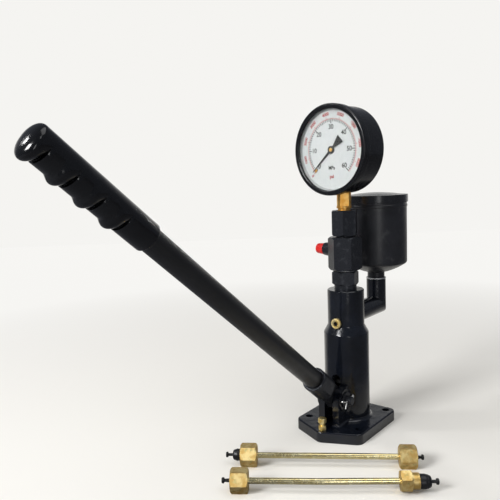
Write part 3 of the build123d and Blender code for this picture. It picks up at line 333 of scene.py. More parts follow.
def gridMesh(name, points, closedAcross=True, capStart=False, facing=None):
    # points is (rows, columns, 3) in metres; rows run along the piece, columns go round it; an
    # open sheet says which way its faces look
    rows, columns = points.shape[:2]
    flat = points.reshape(-1, 3)
    index = np.arange(rows * columns).reshape(rows, columns)
    right = np.roll(index, -1, axis=1) if closedAcross else index[:, 1:]
    left = index if closedAcross else index[:, :-1]
    quads = np.stack([left[:-1], right[:-1], right[1:], left[1:]], axis=-1).reshape(-1, 4)
    faces = quads.tolist()
    if capStart:
        faces.append(index[0][::-1].tolist())
    mesh = bpy.data.meshes.new(name)
    mesh.from_pydata(flat.tolist(), [], faces)
    work = bmesh.new()
    work.from_mesh(mesh)
    bmesh.ops.remove_doubles(work, verts=work.verts, dist=1e-6)
    bmesh.ops.recalc_face_normals(work, faces=work.faces)
    if facing:
        work.faces.ensure_lookup_table()
        if work.faces[0].normal.dot(Vector(facing)) < 0:
            bmesh.ops.reverse_faces(work, faces=work.faces)
    work.to_mesh(mesh)
    work.free()
    return mesh


def roundProfile(corners, steps=5):
    # corners are (radius, height, rounding) in mm; each rounding is a circular arc tangent to
    # both sides, sampled evenly in angle
    points = np.array([c[:2] for c in corners], float)
    out = []
    for i, rounding in enumerate(c[2] for c in corners):
        if rounding <= 0:
            out.append(points[i])
            continue
        toLast = points[i - 1] - points[i]
        toNext = points[(i + 1) % len(corners)] - points[i]
        toLast /= np.linalg.norm(toLast)
        toNext /= np.linalg.norm(toNext)
        half = math.acos(float(np.clip(toLast @ toNext, -1, 1))) / 2
        middle = (toLast + toNext) / np.linalg.norm(toLast + toNext)
        centre = points[i] + middle * rounding / math.sin(half)
        first = points[i] + toLast * rounding / math.tan(half) - centre
        last = points[i] + toNext * rounding / math.tan(half) - centre
        turn = math.atan2(first[0] * last[1] - first[1] * last[0], first @ last)
        angles = np.linspace(0, turn, steps + 1)
        cosines, sines = np.cos(angles), np.sin(angles)
        arc = np.stack([first[0] * cosines - first[1] * sines,
                        first[0] * sines + first[1] * cosines], axis=1) + centre
        out.extend(arc)
    return np.array(out)


def ringOutline(inner, outer, low, high, edge=0):
    # wall of a plain ring, its two outer corners rounded
    return [(inner, low, 0), (outer, low, edge), (outer, high, edge), (inner, high, 0)]


def latheMesh(name, profile, place, segments):
    # every point (radius, height) of the closed profile goes round the Z axis in a circle, then
    # place moves it
    turn = np.linspace(0, 2 * math.pi, segments, endpoint=False)
    radius = profile[:, 0][:, None] * mm
    height = profile[:, 1][:, None] * mm
    points = np.stack([radius * np.cos(turn), radius * np.sin(turn),
                       height + 0 * turn], axis=-1)
    points = np.concatenate([points, points[:1]]).reshape(-1, 3)
    points = points @ np.array(place.to_3x3()).T + np.array(place.translation)
    return gridMesh(name, points.reshape(-1, segments, 3))


def turnedPiece(name, profile, place, segments, finish, body, replaced=(), crisp=40):
    # a lathe mesh as a piece whose edges stay crisp above the angle
    mesh = latheMesh(name, profile, place, segments)
    addPiece(name, mesh, finish, body, replaced)
    sharpen(mesh, crisp)


def finishedCopy(node, finish, bevelMm, angle=30, body=None):
    # the CAD shape with points within 2 micrometres merged, faces within 1 degree joined and
    # edges slightly broken by a bevel of two segments; it rides its node's body unless another is
    # given
    source = nodes[node]
    work = bmesh.new()
    work.from_mesh(source.data)
    bmesh.ops.remove_doubles(work, verts=work.verts, dist=2e-6)
    bmesh.ops.dissolve_limit(work, angle_limit=math.radians(1.0), verts=work.verts,
                             edges=work.edges)
    mesh = bpy.data.meshes.new(node + "Finished")
    work.to_mesh(mesh)
    work.free()
    piece = addPiece(node + "Finished", mesh, finish, body or source["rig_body"], (node,))
    sharpen(mesh, angle)
    if bevelMm:
        bevel = piece.modifiers.new("brokenEdges", "BEVEL")
        bevel.width = bevelMm * mm
        bevel.segments = 2
        bevel.limit_method = "ANGLE"
        bevel.angle_limit = math.radians(angle)
    weightNormals(piece)
    return piece


# Lever: local Z runs out along the handle from its pin, local Y is up
hinges = {joint["name"]: joint for joint in frame["joints"]}
leverRestDeg = 38.5
placeLever = (Matrix.Translation(Vector(hinges["lever_hinge"]["pos_m"]))
              @ Matrix.Rotation(math.radians(90 - leverRestDeg), 4, "X"))

# Gauge: local Z faces the reader, local Y is up the dial
pointerAxis = Vector(hinges["pointer_hinge"]["axis"])
headTurn = math.atan2(-pointerAxis.x, pointerAxis.y)
placeGauge = (Matrix.Translation(Vector(hinges["pointer_hinge"]["pos_m"]))
              @ Matrix.Rotation(headTurn, 4, "Z") @ Matrix.Rotation(math.radians(90), 4, "X"))

# Tank: upright on its own axis
tankLow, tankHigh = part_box("tank_shell")
placeTank = Matrix.Translation(((tankLow.x + tankHigh.x) / 2, (tankLow.y + tankHigh.y) / 2, 0))

# Outlet: local Z runs out of the block from the column's axis
outletAxis = Vector(hinges["outlet_cap_pull"]["axis"])
nippleLow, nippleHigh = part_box("outlet_nipple")
placeOutlet = (Matrix.Translation((0, 0, (nippleLow.z + nippleHigh.z) / 2))
               @ outletAxis.to_track_quat("Z", "Y").to_matrix().to_4x4())

leverTubeSizes = {"start": 34.0, "end": 454.5, "radius": 10.5, "wall": 2.0, "edge": 0.3}


def makeLeverTube(sizes):
    # a plain round tube: one closed wall outline turned about the lever's line
    wall = ringOutline(sizes["radius"] - sizes["wall"], sizes["radius"], sizes["start"],
                       sizes["end"], sizes["edge"])
    turnedPiece("leverTube", roundProfile(wall), placeLever, 96, "tube", "lever",
                ("lever_tube",))


gripSizes = {
    "start": 341.0, "end": 460.3, "radius": 12.6, "mouthRound": 1.2, "mouthRadius": 10.4,
    "humps": 4, "pitch": 25.6, "lastCrestToEnd": 6.0, "crestHeight": 3.0, "notchDepth": 2.6,
    "notchFromCrest": 7.2, "stepFromCrest": 7.6, "plainFromCrest": 17.9, "fairing": 7.0,
    "endPower": 2.4, "mouthRows": 6, "plainRows": 4, "stepRows": 5, "climbRows": 22,
    "fallRows": 16, "endRows": 14, "columns": 96, "crisp": 60,
}


def gripDepthAt(offset, sizes):
    # offset from a crest in mm: a quarter sine climbs from the notch to the crest, a half
    # cosine falls to the plain sleeve, and a steep smooth step closes the notch on its far side
    notch, step = sizes["notchFromCrest"], sizes["stepFromCrest"]
    crest, deep = sizes["crestHeight"], sizes["notchDepth"]
    climb = np.clip((offset + notch) / notch, 0, 1)
    rise = -deep + (crest + deep) * np.sin(climb * math.pi / 2)
    fall = crest * (1 + np.cos(math.pi * np.clip(offset / sizes["fairing"], 0, 1))) / 2
    across = np.clip((offset + step) / (step - notch), 0, 1)
    entry = -deep * across**2 * (3 - 2 * across)
    return np.where(offset < -notch, entry, np.where(offset < 0, rise, fall))


def makeGrip(sizes):
    # for each place along the sleeve the section is half a circle above and, below, the arc
    # through both sides and the depth at that place; the end closes as a superellipse
    lastCrest = sizes["end"] - sizes["lastCrestToEnd"]
    radius, step, notch = (sizes[k] for k in ("radius", "stepFromCrest", "notchFromCrest"))
    turn = np.linspace(0, math.pi / 2, sizes["mouthRows"])
    places = [sizes["start"] + sizes["mouthRound"] * (1 - np.cos(turn))]
    shrinks = [1 - sizes["mouthRound"] / radius * (1 - np.sin(turn))]
    depths = [np.zeros(len(turn))]
    for hump in range(sizes["humps"]):
        crest = lastCrest - (sizes["humps"] - 1 - hump) * sizes["pitch"]
        offset = np.concatenate([
            np.linspace(-sizes["plainFromCrest"], -step, sizes["plainRows"])[:-1],
            np.linspace(-step, -notch, sizes["stepRows"]),
            np.linspace(-notch, 0, sizes["climbRows"])[1:],
            np.linspace(0, sizes["fairing"], sizes["fallRows"])[1:]])
        offset = offset[crest + offset <= lastCrest + 1e-6]
        places.append(crest + offset)
        shrinks.append(np.ones(len(offset)))
        depths.append(gripDepthAt(offset, sizes))
    turn = np.linspace(0, math.pi / 2, sizes["endRows"])[1:]
    places.append(lastCrest + sizes["lastCrestToEnd"] * np.sin(turn))
    shrinks.append((1 - np.sin(turn) ** sizes["endPower"]).clip(0) ** (1 / sizes["endPower"]))
    depths.append(np.full(len(turn), sizes["crestHeight"]))
    along, shrink, extra = (np.concatenate(v)[:, None] for v in (places, shrinks, depths))
    depth = radius + extra
    half = sizes["columns"] // 2
    upper = np.linspace(0, math.pi, half, endpoint=False)
    arcRadius = (radius**2 + depth**2) / (2 * depth)
    arcCentre = arcRadius - depth
    firstAngle = np.arctan2(-arcCentre, radius)
    share = np.linspace(0, 1, half, endpoint=False)
    lower = -math.pi - firstAngle + share * (math.pi + 2 * firstAngle)
    across = np.concatenate([radius * np.cos(upper) + 0 * depth, arcRadius * np.cos(lower)],
                            axis=1) * shrink
    up = np.concatenate([radius * np.sin(upper) + 0 * depth,
                         arcCentre + arcRadius * np.sin(lower)], axis=1) * shrink
    points = np.stack([across, up, along + 0 * up], axis=-1) * mm
    mouth = points[:1] * (sizes["mouthRadius"] / (radius - sizes["mouthRound"]))
    mouth[..., 2] = points[:1, :, 2]
    points = np.concatenate([mouth, points]).reshape(-1, 3)
    points = points @ np.array(placeLever.to_3x3()).T + np.array(placeLever.translation)
    mesh = gridMesh("leverGripSleeve", points.reshape(-1, 2 * half, 3), capStart=True)
    addPiece("leverGrip", mesh, "vinyl", "lever", ("lever_grip",))
    sharpen(mesh, sizes["crisp"])


makeLeverTube(leverTubeSizes)
makeGrip(gripSizes)
print("lever tube and grip made")

gaugeSizes = {
    "caseRadius": 48.6, "caseBack": -11.6, "caseWall": 3.2, "backWall": 2.0, "backRound": 3.0,
    "glassBack": 21.0, "glassFront": 23.4, "dialBack": 18.2, "dialFront": 19.2,
    "dialRadius": 46.4, "dialHole": 2.0, "seatGap": 0.3,
    "bezelRadius": 50.5, "bezelWindow": 44.8, "bezelFront": 26.2, "bezelBack": 16.5,
    "bezelRound": 1.6, "ringInner": 43.3, "ringInnerHeight": 19.25, "ringOuter": 46.3,
    "ringOuterHeight": 20.9, "ringLip": 0.4, "bezelBackRound": 0.5, "fit": 0.05, "crisp": 35,
}


def makeGaugeCase(sizes):
    # turned outlines about the dial's axis: drawn case, rolled bezel, glass, dial and its ring
    seat = sizes["dialRadius"] + sizes["seatGap"]
    outer, back, front = sizes["caseRadius"], sizes["glassBack"], sizes["glassFront"]
    inner = outer - sizes["caseWall"]
    floor = sizes["caseBack"] + sizes["backWall"]
    outlines = {
        "gaugeCase": [(0, sizes["caseBack"], 0), (outer, sizes["caseBack"], sizes["backRound"]),
                      (outer, back, 0), (seat, back, 0), (seat, sizes["dialBack"], 0),
                      (inner, sizes["dialBack"], 0), (inner, floor, 0), (0, floor, 0)],
        "gaugeBezel": [(outer + sizes["fit"], sizes["bezelBack"], 0),
                       (sizes["bezelRadius"], sizes["bezelBack"], sizes["bezelBackRound"]),
                       (sizes["bezelRadius"], sizes["bezelFront"], sizes["bezelRound"]),
                       (sizes["bezelWindow"], sizes["bezelFront"], sizes["bezelRound"]),
                       (sizes["bezelWindow"], front, 0), (outer + sizes["fit"], front, 0)],
        "gaugeGlass": ringOutline(0, outer - sizes["fit"], back, front),
        "gaugeDial": ringOutline(sizes["dialHole"], sizes["dialRadius"], sizes["dialBack"],
                                 sizes["dialFront"]),
        "dialRing": [(sizes["ringInner"], sizes["ringInnerHeight"], 0),
                     (sizes["ringOuter"], sizes["ringInnerHeight"], 0),
                     (sizes["ringOuter"], sizes["ringOuterHeight"], 0),
                     (sizes["ringOuter"] - sizes["ringLip"], sizes["ringOuterHeight"], 0)],
    }
    # finish, and the CAD node it stands for
    looks = {"gaugeCase": ("gaugeCase", ("gauge_case",)), "gaugeBezel": ("gaugeCase", ("bezel",)),
             "gaugeGlass": ("glass", ("gauge_glass",)), "gaugeDial": ("dialWhite", ("dial",)),
             "dialRing": ("dialRing", ())}
    for name, (finish, replaced) in looks.items():
        turnedPiece(name, roundProfile(outlines[name], 8), placeGauge, 160, finish, "base",
                    replaced, sizes["crisp"])


scaleSizes = {
    "ink": 0.03, "zeroDeg": -135.0, "sweepDeg": 270.0, "fullMpa": 60.0, "psiPerMpa": 145.04,
    "blackOuter": 33.4, "blackMinorInner": 31.0, "blackMiddleInner": 30.4,
    "blackMajorInner": 29.0, "blackMajorWidth": 1.1, "blackMinorWidth": 0.95,
    "redInner": 33.8, "redMinorOuter": 35.1, "redMajorOuter": 36.4, "redWidth": 0.4,
    "redMajorWidth": 0.6, "redArcWidth": 0.4, "numberRadius": 25.2, "numberHeight": 5.0,
    "redNumberRadius": 39.5, "redNumberHeight": 3.3, "unitHeight": 3.8, "weight": 0.16,
    "mpaBelow": 19.9, "psiBelow": 29.5, "mpaPerNumber": 10,
    "mpaPerMiddle": 5, "psiPerNumber": 1000, "psiPerMark": 100, "arcSteps": 140, "lift": 0.01,
}
capitalShare = 0.7  # height of a capital over the font's size


def markMesh(name, angles, inner, outer, width):
    # one thin flat bar per angle, from the inner to the outer radius; angles run clockwise from
    # twelve o'clock in degrees
    angles = np.radians(np.asarray(angles, float))[:, None]
    inner = np.broadcast_to(np.asarray(inner, float), len(angles))[:, None]
    outer = np.broadcast_to(np.asarray(outer, float), len(angles))[:, None]
    half = np.broadcast_to(np.asarray(width, float), len(angles))[:, None] / 2
    along = np.concatenate([inner, inner, outer, outer], axis=1)
    aside = np.concatenate([half, -half, -half, half], axis=1)
    x = along * np.sin(angles) + aside * np.cos(angles)
    y = along * np.cos(angles) - aside * np.sin(angles)
    points = np.stack([x, y, 0 * x], axis=-1).reshape(-1, 3) * mm
    faces = np.arange(len(points)).reshape(-1, 4)[:, ::-1]
    mesh = bpy.data.meshes.new(name)
    mesh.from_pydata(points.tolist(), [], faces.tolist())
    return mesh


def arcMesh(name, radius, width, fromDeg, toDeg, steps):
    # a thin flat band along a circle between two angles
    angles = np.radians(np.linspace(fromDeg, toDeg, steps))[:, None]
    reach = np.array([radius - width / 2, radius + width / 2])[None, :]
    points = np.stack([reach * np.sin(angles), reach * np.cos(angles), 0 * reach * angles],
                      axis=-1)
    return gridMesh(name, points * mm, closedAcross=False, facing=(0, 0, 1))


def wordMesh(words, height, weight, across, up, turnDeg=0.0):
    # printed word as flat letters, each outline swollen by the weight in mm, centred on its place
    curve = bpy.data.curves.new("word" + words, "FONT")
    curve.body = words
    curve.size = height * mm / capitalShare
    curve.offset = weight * mm
    curve.align_x = "CENTER"
    curve.align_y = "CENTER"
    holder = addObject("wordHolder", curve)
    bpy.context.view_layer.update()
    mesh = bpy.data.meshes.new_from_object(holder.evaluated_get(
        bpy.context.evaluated_depsgraph_get()))
    bpy.data.objects.remove(holder)
    mesh.transform(Matrix.Translation((across * mm, up * mm, 0))
                   @ Matrix.Rotation(math.radians(turnDeg), 4, "Z"))
    return mesh


def printPiece(name, meshes, finish, height, depth):
    # all marks of one colour laid on the dial as one piece with a little thickness
    work = bmesh.new()
    for part in meshes:
        work.from_mesh(part)
        bpy.data.meshes.remove(part)
    bmesh.ops.remove_doubles(work, verts=work.verts, dist=1e-7)
    mesh = bpy.data.meshes.new(name)
    work.to_mesh(mesh)
    work.free()
    mesh.transform(placeGauge @ Matrix.Translation((0, 0, height * mm)))
    piece = addPiece(name, mesh, finish, "base")
    thick = piece.modifiers.new("inkThickness", "SOLIDIFY")
    thick.thickness = depth * mm
    thick.offset = 1.0


def makeDialPrint(sizes, height):
    # two scales over the same sweep: an inner one in MPa and an outer one in psi
    perMpa = sizes["sweepDeg"] / sizes["fullMpa"]
    mpa = np.arange(0, sizes["fullMpa"] + 1)
    major = mpa % sizes["mpaPerNumber"] == 0
    middle = (mpa % sizes["mpaPerMiddle"] == 0) & ~major
    inner = np.where(major, sizes["blackMajorInner"],
                     np.where(middle, sizes["blackMiddleInner"], sizes["blackMinorInner"]))
    black = [markMesh("mpaMarks", sizes["zeroDeg"] + mpa * perMpa, inner, sizes["blackOuter"],
                      np.where(major, sizes["blackMajorWidth"], sizes["blackMinorWidth"]))]
    for value in range(0, int(sizes["fullMpa"]) + 1, sizes["mpaPerNumber"]):
        angle = math.radians(sizes["zeroDeg"] + value * perMpa)
        black.append(wordMesh(str(value), sizes["numberHeight"], sizes["weight"],
                              sizes["numberRadius"] * math.sin(angle),
                              sizes["numberRadius"] * math.cos(angle)))
    black.append(wordMesh("MPa", sizes["unitHeight"], sizes["weight"], 0, -sizes["mpaBelow"]))
    perPsi = perMpa / sizes["psiPerMpa"]
    fullPsi = sizes["fullMpa"] * sizes["psiPerMpa"]
    psi = np.arange(0, fullPsi, sizes["psiPerMark"])
    thousand = psi % sizes["psiPerNumber"] == 0
    red = [markMesh("psiMarks", sizes["zeroDeg"] + psi * perPsi, sizes["redInner"],
                    np.where(thousand, sizes["redMajorOuter"], sizes["redMinorOuter"]),
                    np.where(thousand, sizes["redMajorWidth"], sizes["redWidth"])),
           arcMesh("psiLine", sizes["redInner"], sizes["redArcWidth"], sizes["zeroDeg"],
                   sizes["zeroDeg"] + sizes["sweepDeg"], sizes["arcSteps"])]
    for value in range(0, int(fullPsi), sizes["psiPerNumber"]):
        turn = sizes["zeroDeg"] + value * perPsi
        angle = math.radians(turn)
        red.append(wordMesh(str(value), sizes["redNumberHeight"], sizes["weight"],
                            sizes["redNumberRadius"] * math.sin(angle),
                            sizes["redNumberRadius"] * math.cos(angle), -turn))
    red.append(wordMesh("psi", sizes["unitHeight"], sizes["weight"], 0, -sizes["psiBelow"]))
    printPiece("dialPrintBlack", black, "blackInk", height, sizes["ink"])
    printPiece("dialPrintRed", red, "redInk", height, sizes["ink"])


makeGaugeCase(gaugeSizes)
makeDialPrint(scaleSizes, gaugeSizes["dialFront"] + scaleSizes["lift"])

# Cap on the pointer's hub: a shallow dome, sine across and cosine up over a quarter turn
centreSizes = {"radius": 2.3, "base": 20.55, "rise": 0.35, "rows": 8}
centreTurn = np.linspace(math.pi / 2, 0, centreSizes["rows"])
centreDome = np.stack([centreSizes["radius"] * np.sin(centreTurn),
                       centreSizes["base"] + centreSizes["rise"] * np.cos(centreTurn)], axis=1)
centreDome = np.concatenate([[[0, centreSizes["base"]]], centreDome])
turnedPiece("pointerCentre", centreDome, placeGauge, 48, "brass", "pointer_group")
print("gauge, dial and print made")

tankSizes = {
    "radius": 38.2, "wall": 1.6, "top": 267.0, "dishBottom": 171.6, "dishRise": 13.0,
    "dishBulge": 1.6, "knee": 4.0, "neckRadius": 10.5, "neckBottom": 165.2, "neckWall": 1.7,
    "spigot": 6.95, "spigotBottom": 157.2, "spigotEdge": 0.5, "bore": 5.0, "step": 168.2,
    "neckFillet": 1.0, "dishRows": 8, "beadHeight": 255.5, "beadHalf": 2.0, "beadCrest": 0.9,
    "beadDepth": 0.7, "slightEdge": 0.4, "edge": 0.6,
    "lidGap": 0.5, "lidWall": 1.0, "lidSkirt": 7.8, "lidUnder": 267.3, "lidRim": 268.8,
    "lidDome": 3.0, "lidFlat": 34.1, "lidEdge": 0.7, "lidHem": 0.3, "lidRows": 18,
}


def dishPoints(start, end, bulge, steps):
    # the circle through both ends that stands off their chord by the bulge: radius is half the
    # chord squared plus the bulge squared, over twice the bulge; sampled evenly in angle
    start, end = np.array(start, float), np.array(end, float)
    chord = end - start
    half = np.linalg.norm(chord) / 2
    radius = (half**2 + bulge**2) / (2 * bulge)
    outward = np.array([chord[1], -chord[0]]) / (2 * half)
    centre = (start + end) / 2 + outward * (bulge - radius)
    reach = math.asin(half / radius)
    angles = np.linspace(-reach, reach, steps + 1)[:, None]
    return centre + radius * (np.sin(angles) * chord / (2 * half) + np.cos(angles) * outward)


def makeTank(sizes):
    # cup with a dished bottom, rolled bead near the rim and a neck that seats in the elbow: one
    # closed wall outline turned about the tank's axis
    outer, wall, edge, slight = (sizes[k] for k in ("radius", "wall", "edge", "slightEdge"))
    bottom, bulge, rows = sizes["dishBottom"], sizes["dishBulge"], sizes["dishRows"]
    knee = bottom + sizes["dishRise"]
    bead, beadAt, beadHalf = outer + sizes["beadDepth"], sizes["beadHeight"], sizes["beadHalf"]
    spigot, neck = sizes["spigot"], sizes["neckRadius"]
    innerNeck = neck - sizes["neckWall"]
    dish = dishPoints((innerNeck, bottom), (outer, knee), bulge, rows)
    inside = dishPoints((innerNeck, bottom + wall), (outer - wall, knee + wall), bulge, rows)
    neckTop = float(np.interp(neck, dish[:, 0], dish[:, 1]))
    corners = [(sizes["bore"], sizes["spigotBottom"], 0),
               (spigot, sizes["spigotBottom"], sizes["spigotEdge"]),
               (spigot, sizes["neckBottom"], 0), (neck, sizes["neckBottom"], slight),
               (neck, neckTop, sizes["neckFillet"]),
               *[(x, z, 0) for x, z in dish[2:-1]], (outer, knee, sizes["knee"]),
               (outer, beadAt - beadHalf, slight), (bead, beadAt - sizes["beadCrest"], edge),
               (bead, beadAt + sizes["beadCrest"], edge), (outer, beadAt + beadHalf, slight),
               (outer, sizes["top"], edge), (outer - wall, sizes["top"], edge),
               (outer - wall, knee + wall, sizes["knee"] - wall),
               *[(x, z, 0) for x, z in inside[1:-1][::-1]],
               (innerNeck, bottom + wall, edge), (innerNeck, sizes["step"], 0),
               (sizes["bore"], sizes["step"], 0)]
    turnedPiece("fuelTank", roundProfile(corners, 8), placeTank, 160, "tank", "base",
                ("tank_shell",))


def makeLid(sizes):
    # pressed lid: a plain skirt round the tank's rim and a shallow cap of a large sphere on top
    inner = sizes["radius"] + sizes["lidGap"]
    outer = inner + sizes["lidWall"]
    under, hem, flat, dome = (sizes[k] for k in ("lidUnder", "lidHem", "lidFlat", "lidDome"))
    skirt = under - sizes["lidSkirt"]
    corners = [(0, under, 0), (inner, under, hem), (inner, skirt, hem), (outer, skirt, hem),
               (outer, sizes["lidRim"], sizes["lidEdge"]), (flat, sizes["lidRim"], 0)]
    rim = roundProfile(corners, 6)
    sphere = (flat**2 + dome**2) / (2 * dome)
    reach = np.linspace(flat, 0, sizes["lidRows"])[1:]
    height = sizes["lidRim"] + dome - sphere + np.sqrt(sphere**2 - reach**2)
    outline = np.concatenate([rim, np.stack([reach, height], axis=1)])
    turnedPiece("tankLid", outline, placeTank, 160, "lid", "lid_group", ("tank_lid",))


capSizes = {"start": 29.1, "end": 40.5, "innerEnd": 37.3, "outer": 7.0, "inner": 6.3,
            "rim": 2.0, "rimStep": 0.35, "rimSlope": 0.4, "rimEdge": 0.5, "mouthEdge": 0.3,
            "edge": 0.2, "tip": 6.0, "round": 1.2}


def makeOutletCap(sizes):
    # push-on thread cap: thin skirt, short rim and a closed rounded end
    inner, outer, start, edge = (sizes[k] for k in ("inner", "outer", "start", "edge"))
    rim = start + sizes["rim"]
    corners = [(0, sizes["innerEnd"], 0), (inner, sizes["innerEnd"], 0),
               (inner, start, edge), (outer, start, sizes["mouthEdge"]),
               (outer, rim, sizes["rimEdge"]),
               (outer - sizes["rimStep"], rim + sizes["rimSlope"], edge),
               (sizes["tip"], sizes["end"], sizes["round"]), (0, sizes["end"], 0)]
    turnedPiece("outletCap", roundProfile(corners, 5), placeOutlet, 72, "redCap", "cap_group",
                ("outlet_cap",))


makeTank(tankSizes)
makeLid(tankSizes)
makeOutletCap(capSizes)
print("tank, lid and outlet cap made")

# Rubber caps of the pipes: outlines (radius, distance from the nut's face, rounding) turned about
# the pipe's line, each with a body, a thin neck and a round pull knob
pipeCapOutlines = {
    "pipe_a_left_cap": [(0, -4.0, 0), (6.3, -4.0, 0.4), (6.3, 0.1, 0), (5.7, 0.3, 0.2),
                        (6.1, 3.2, 2.0), (4.6, 7.8, 2.2), (1.5, 7.8, 0.5), (1.4, 12.6, 0.4),
                        (2.8, 13.0, 0.6), (2.8, 15.1, 0.8), (0, 15.1, 0)],
    "pipe_a_right_cap": [(0, -4.0, 0), (6.3, -4.0, 0.4), (6.3, -0.6, 0.4), (1.8, -0.6, 0.4),
                         (1.4, 4.2, 0.4), (2.7, 4.6, 0.6), (2.7, 6.8, 0.8), (0, 6.8, 0)],
    "pipe_b_nut_cap": [(0, -4.0, 0), (6.3, -4.0, 0.4), (6.3, -0.6, 0.4), (1.9, -0.6, 0.4),
                       (1.5, 5.4, 0.4), (2.8, 5.8, 0.6), (2.8, 8.2, 0.8), (0, 8.2, 0)],
    "pipe_b_union_cap": [(0, 7.4, 0), (6.35, 7.4, 0), (6.35, 0, 0), (6.9, 0, 0.25),
                         (6.9, 5.0, 3.0), (5.0, 10.6, 2.4), (1.6, 10.6, 0.5), (1.5, 14.8, 0.4),
                         (2.9, 15.2, 0.6), (2.9, 17.6, 0.8), (0, 17.6, 0)],
}
# How far in front of the CAD cap's inner end the face of its nut lies, in mm
capFaceFromEnd = {"pipe_a_left_cap": 6.0, "pipe_a_right_cap": 6.0, "pipe_b_nut_cap": 6.0,
                  "pipe_b_union_cap": 0.0}


def makePipeCap(nodeName, outline, faceFromEnd):
    # the cap's own pull joint gives its line; the node's box gives the line's place, and its
    # points measured along the line give the inner end
    joint = hinges[nodeName + "_pull"]
    axis = Vector(joint["axis"]).normalized()
    low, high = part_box(nodeName)
    middle = (low + high) / 2
    count = len(nodes[nodeName].data.vertices)
    points = np.empty(count * 3)
    nodes[nodeName].data.vertices.foreach_get("co", points)
    along = points.reshape(-1, 3) @ np.array(axis)
    start = middle + axis * (float(along.min()) + faceFromEnd * mm - middle.dot(axis))
    place = Matrix.Translation(start) @ axis.to_track_quat("Z", "Y").to_matrix().to_4x4()
    turnedPiece(nodeName + "Rubber", roundProfile(outline, 6), place, 64, "rubber",
                joint["child"], (nodeName,))


for nodeName, outline in pipeCapOutlines.items():
    makePipeCap(nodeName, outline, capFaceFromEnd[nodeName])

# Washer under the valve block
washerLow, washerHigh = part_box("block_washer")
washerSizes = {"inner": 7.0, "outer": 11.8, "edge": 0.3}
washerOutline = ringOutline(washerSizes["inner"], washerSizes["outer"], washerLow.z / mm,
                            washerHigh.z / mm, washerSizes["edge"])
turnedPiece("blockWasherRing", roundProfile(washerOutline, 4), Matrix.Identity(4), 96,
            "softAluminium", "base", ("block_washer",))

# Bleed plug: a bright turned rim round its head; local Z runs out of the column's face
plugSizes = {"inner": 4.1, "flat": 5.2, "outer": 6.0, "proud": 0.15, "slope": 0.7, "depth": 2.6,
             "edge": 0.2, "flatEdge": 0.3}
plugLow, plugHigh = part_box("bleed_plug")
placePlug = (Matrix.Translation(((plugLow.x + plugHigh.x) / 2, plugLow.y,
                                 (plugLow.z + plugHigh.z) / 2))
             @ Matrix.Rotation(math.radians(90), 4, "X"))
plugRim = roundProfile([
    (plugSizes["inner"], -plugSizes["depth"], 0), (plugSizes["outer"], -plugSizes["depth"], 0),
    (plugSizes["outer"], -plugSizes["slope"], plugSizes["edge"]),
    (plugSizes["flat"], plugSizes["proud"], plugSizes["flatEdge"]),
    (plugSizes["inner"], plugSizes["proud"], plugSizes["edge"])], 4)
turnedPiece("bleedPlugRim", plugRim, placePlug, 64, "rimZinc", "base")

# Painted shade in the plug's socket: a thin cup of dark colour just inside the hexagon, darkening
# the hole where its shade falls
socketShadeSizes = {"floor": -3.45, "mouth": -0.5, "radius": 2.45, "film": 0.15}
shadeLiningInner = socketShadeSizes["radius"] - socketShadeSizes["film"]
shadeLiningFloor = socketShadeSizes["floor"] + socketShadeSizes["film"]
shadeLiningCup = [(0, socketShadeSizes["floor"], 0), (socketShadeSizes["radius"], socketShadeSizes["floor"], 0),
          (socketShadeSizes["radius"], socketShadeSizes["mouth"], 0), (shadeLiningInner, socketShadeSizes["mouth"], 0),
          (shadeLiningInner, shadeLiningFloor, 0), (0, shadeLiningFloor, 0)]
turnedPiece("bleedPlugShadeLining", roundProfile(shadeLiningCup, 2), placePlug, 32, "socketShadeLining", "base")
print("pipe caps, washer, plug rim and painted socket shade made")

# CAD node: finish, width of the broken edge in mm, and the angle above which an edge stays crisp
# where it isn't 30 degrees
keptShapes = {
    "body_casting": ("iron", 0.7, 24), "elbow": ("iron", 0.5), "lever_head": ("oxide", 0.5),
    "valve_holder": ("oxide", 0.35), "valve_block": ("oxide", 0.45), "gauge_nut": ("oxide", 0.4),
    "outlet_nipple": ("oxide", 0.25), "gauge_stem": ("brass", 0.2),
    "tank_washer": ("softAluminium", 0.15), "bleed_plug": ("screwZinc", 0.2),
    "bleed_plug_washer": ("rubber", 0.15), "stop_screw": ("screwZinc", 0.2),
    "stop_screw_nut": ("screwZinc", 0.2), "pivot_pin": ("oxide", 0.25),
    "pivot_washer": ("oxide", 0.2), "split_pin": ("pinZinc", 0, 60),
    "pointer": ("pointerBlack", 0.08), "zero_stop": ("brass", 0.15),
    "pipe_a_tube": ("pipe", 0, 50), "pipe_b_tube": ("pipe", 0, 50),
    "pipe_a_nuts": ("nutZinc", 0.3, 26), "pipe_b_nut": ("nutZinc", 0.3, 26),
    "pipe_b_union": ("nutZinc", 0.25, 26),
}
for nodeName, look in keptShapes.items():
    finishedCopy(nodeName, *look)

# Coil springs: the joint that presses each one and the height of the end that stays, in mm
springSizes = {"return_spring": ("plunger_slide", 108.0),
               "delivery_valve_spring": ("valve_lift", 174.3)}


def pressedSpring(nodeName, jointName):
    # the coil as a finished copy with its own mesh, riding the body of the joint's parent; it
    # keeps the CAD shape and does not shorten
    joint = hinges[jointName]
    spring = finishedCopy(nodeName, "springSteel", 0, 60, body=joint["parent"])
    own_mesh(spring)


for nodeName, (jointName, heldAtMm) in springSizes.items():
    pressedSpring(nodeName, jointName)

# Pieces inside the casting, the holder and the gauge keep the CAD mesh and get its finish
innerFinishes = {
    "plunger": "ground", "plunger_barrel": "ground", "spring_seat": "ground",
    "delivery_valve_seat": "ground", "delivery_valve": "ground", "gauge_seal": "copper",
    "bourdon_tube": "brass", "movement_frame": "brass", "movement_sector": "brass",
    "tank_strainer": "brass",
}
for nodeName, finish in innerFinishes.items():
    nodes[nodeName].data.materials.clear()
    nodes[nodeName].data.materials.append(finishes[finish])
print("pieces from the frame finished:",
      len(keptShapes) + len(springSizes) + len(innerFinishes))

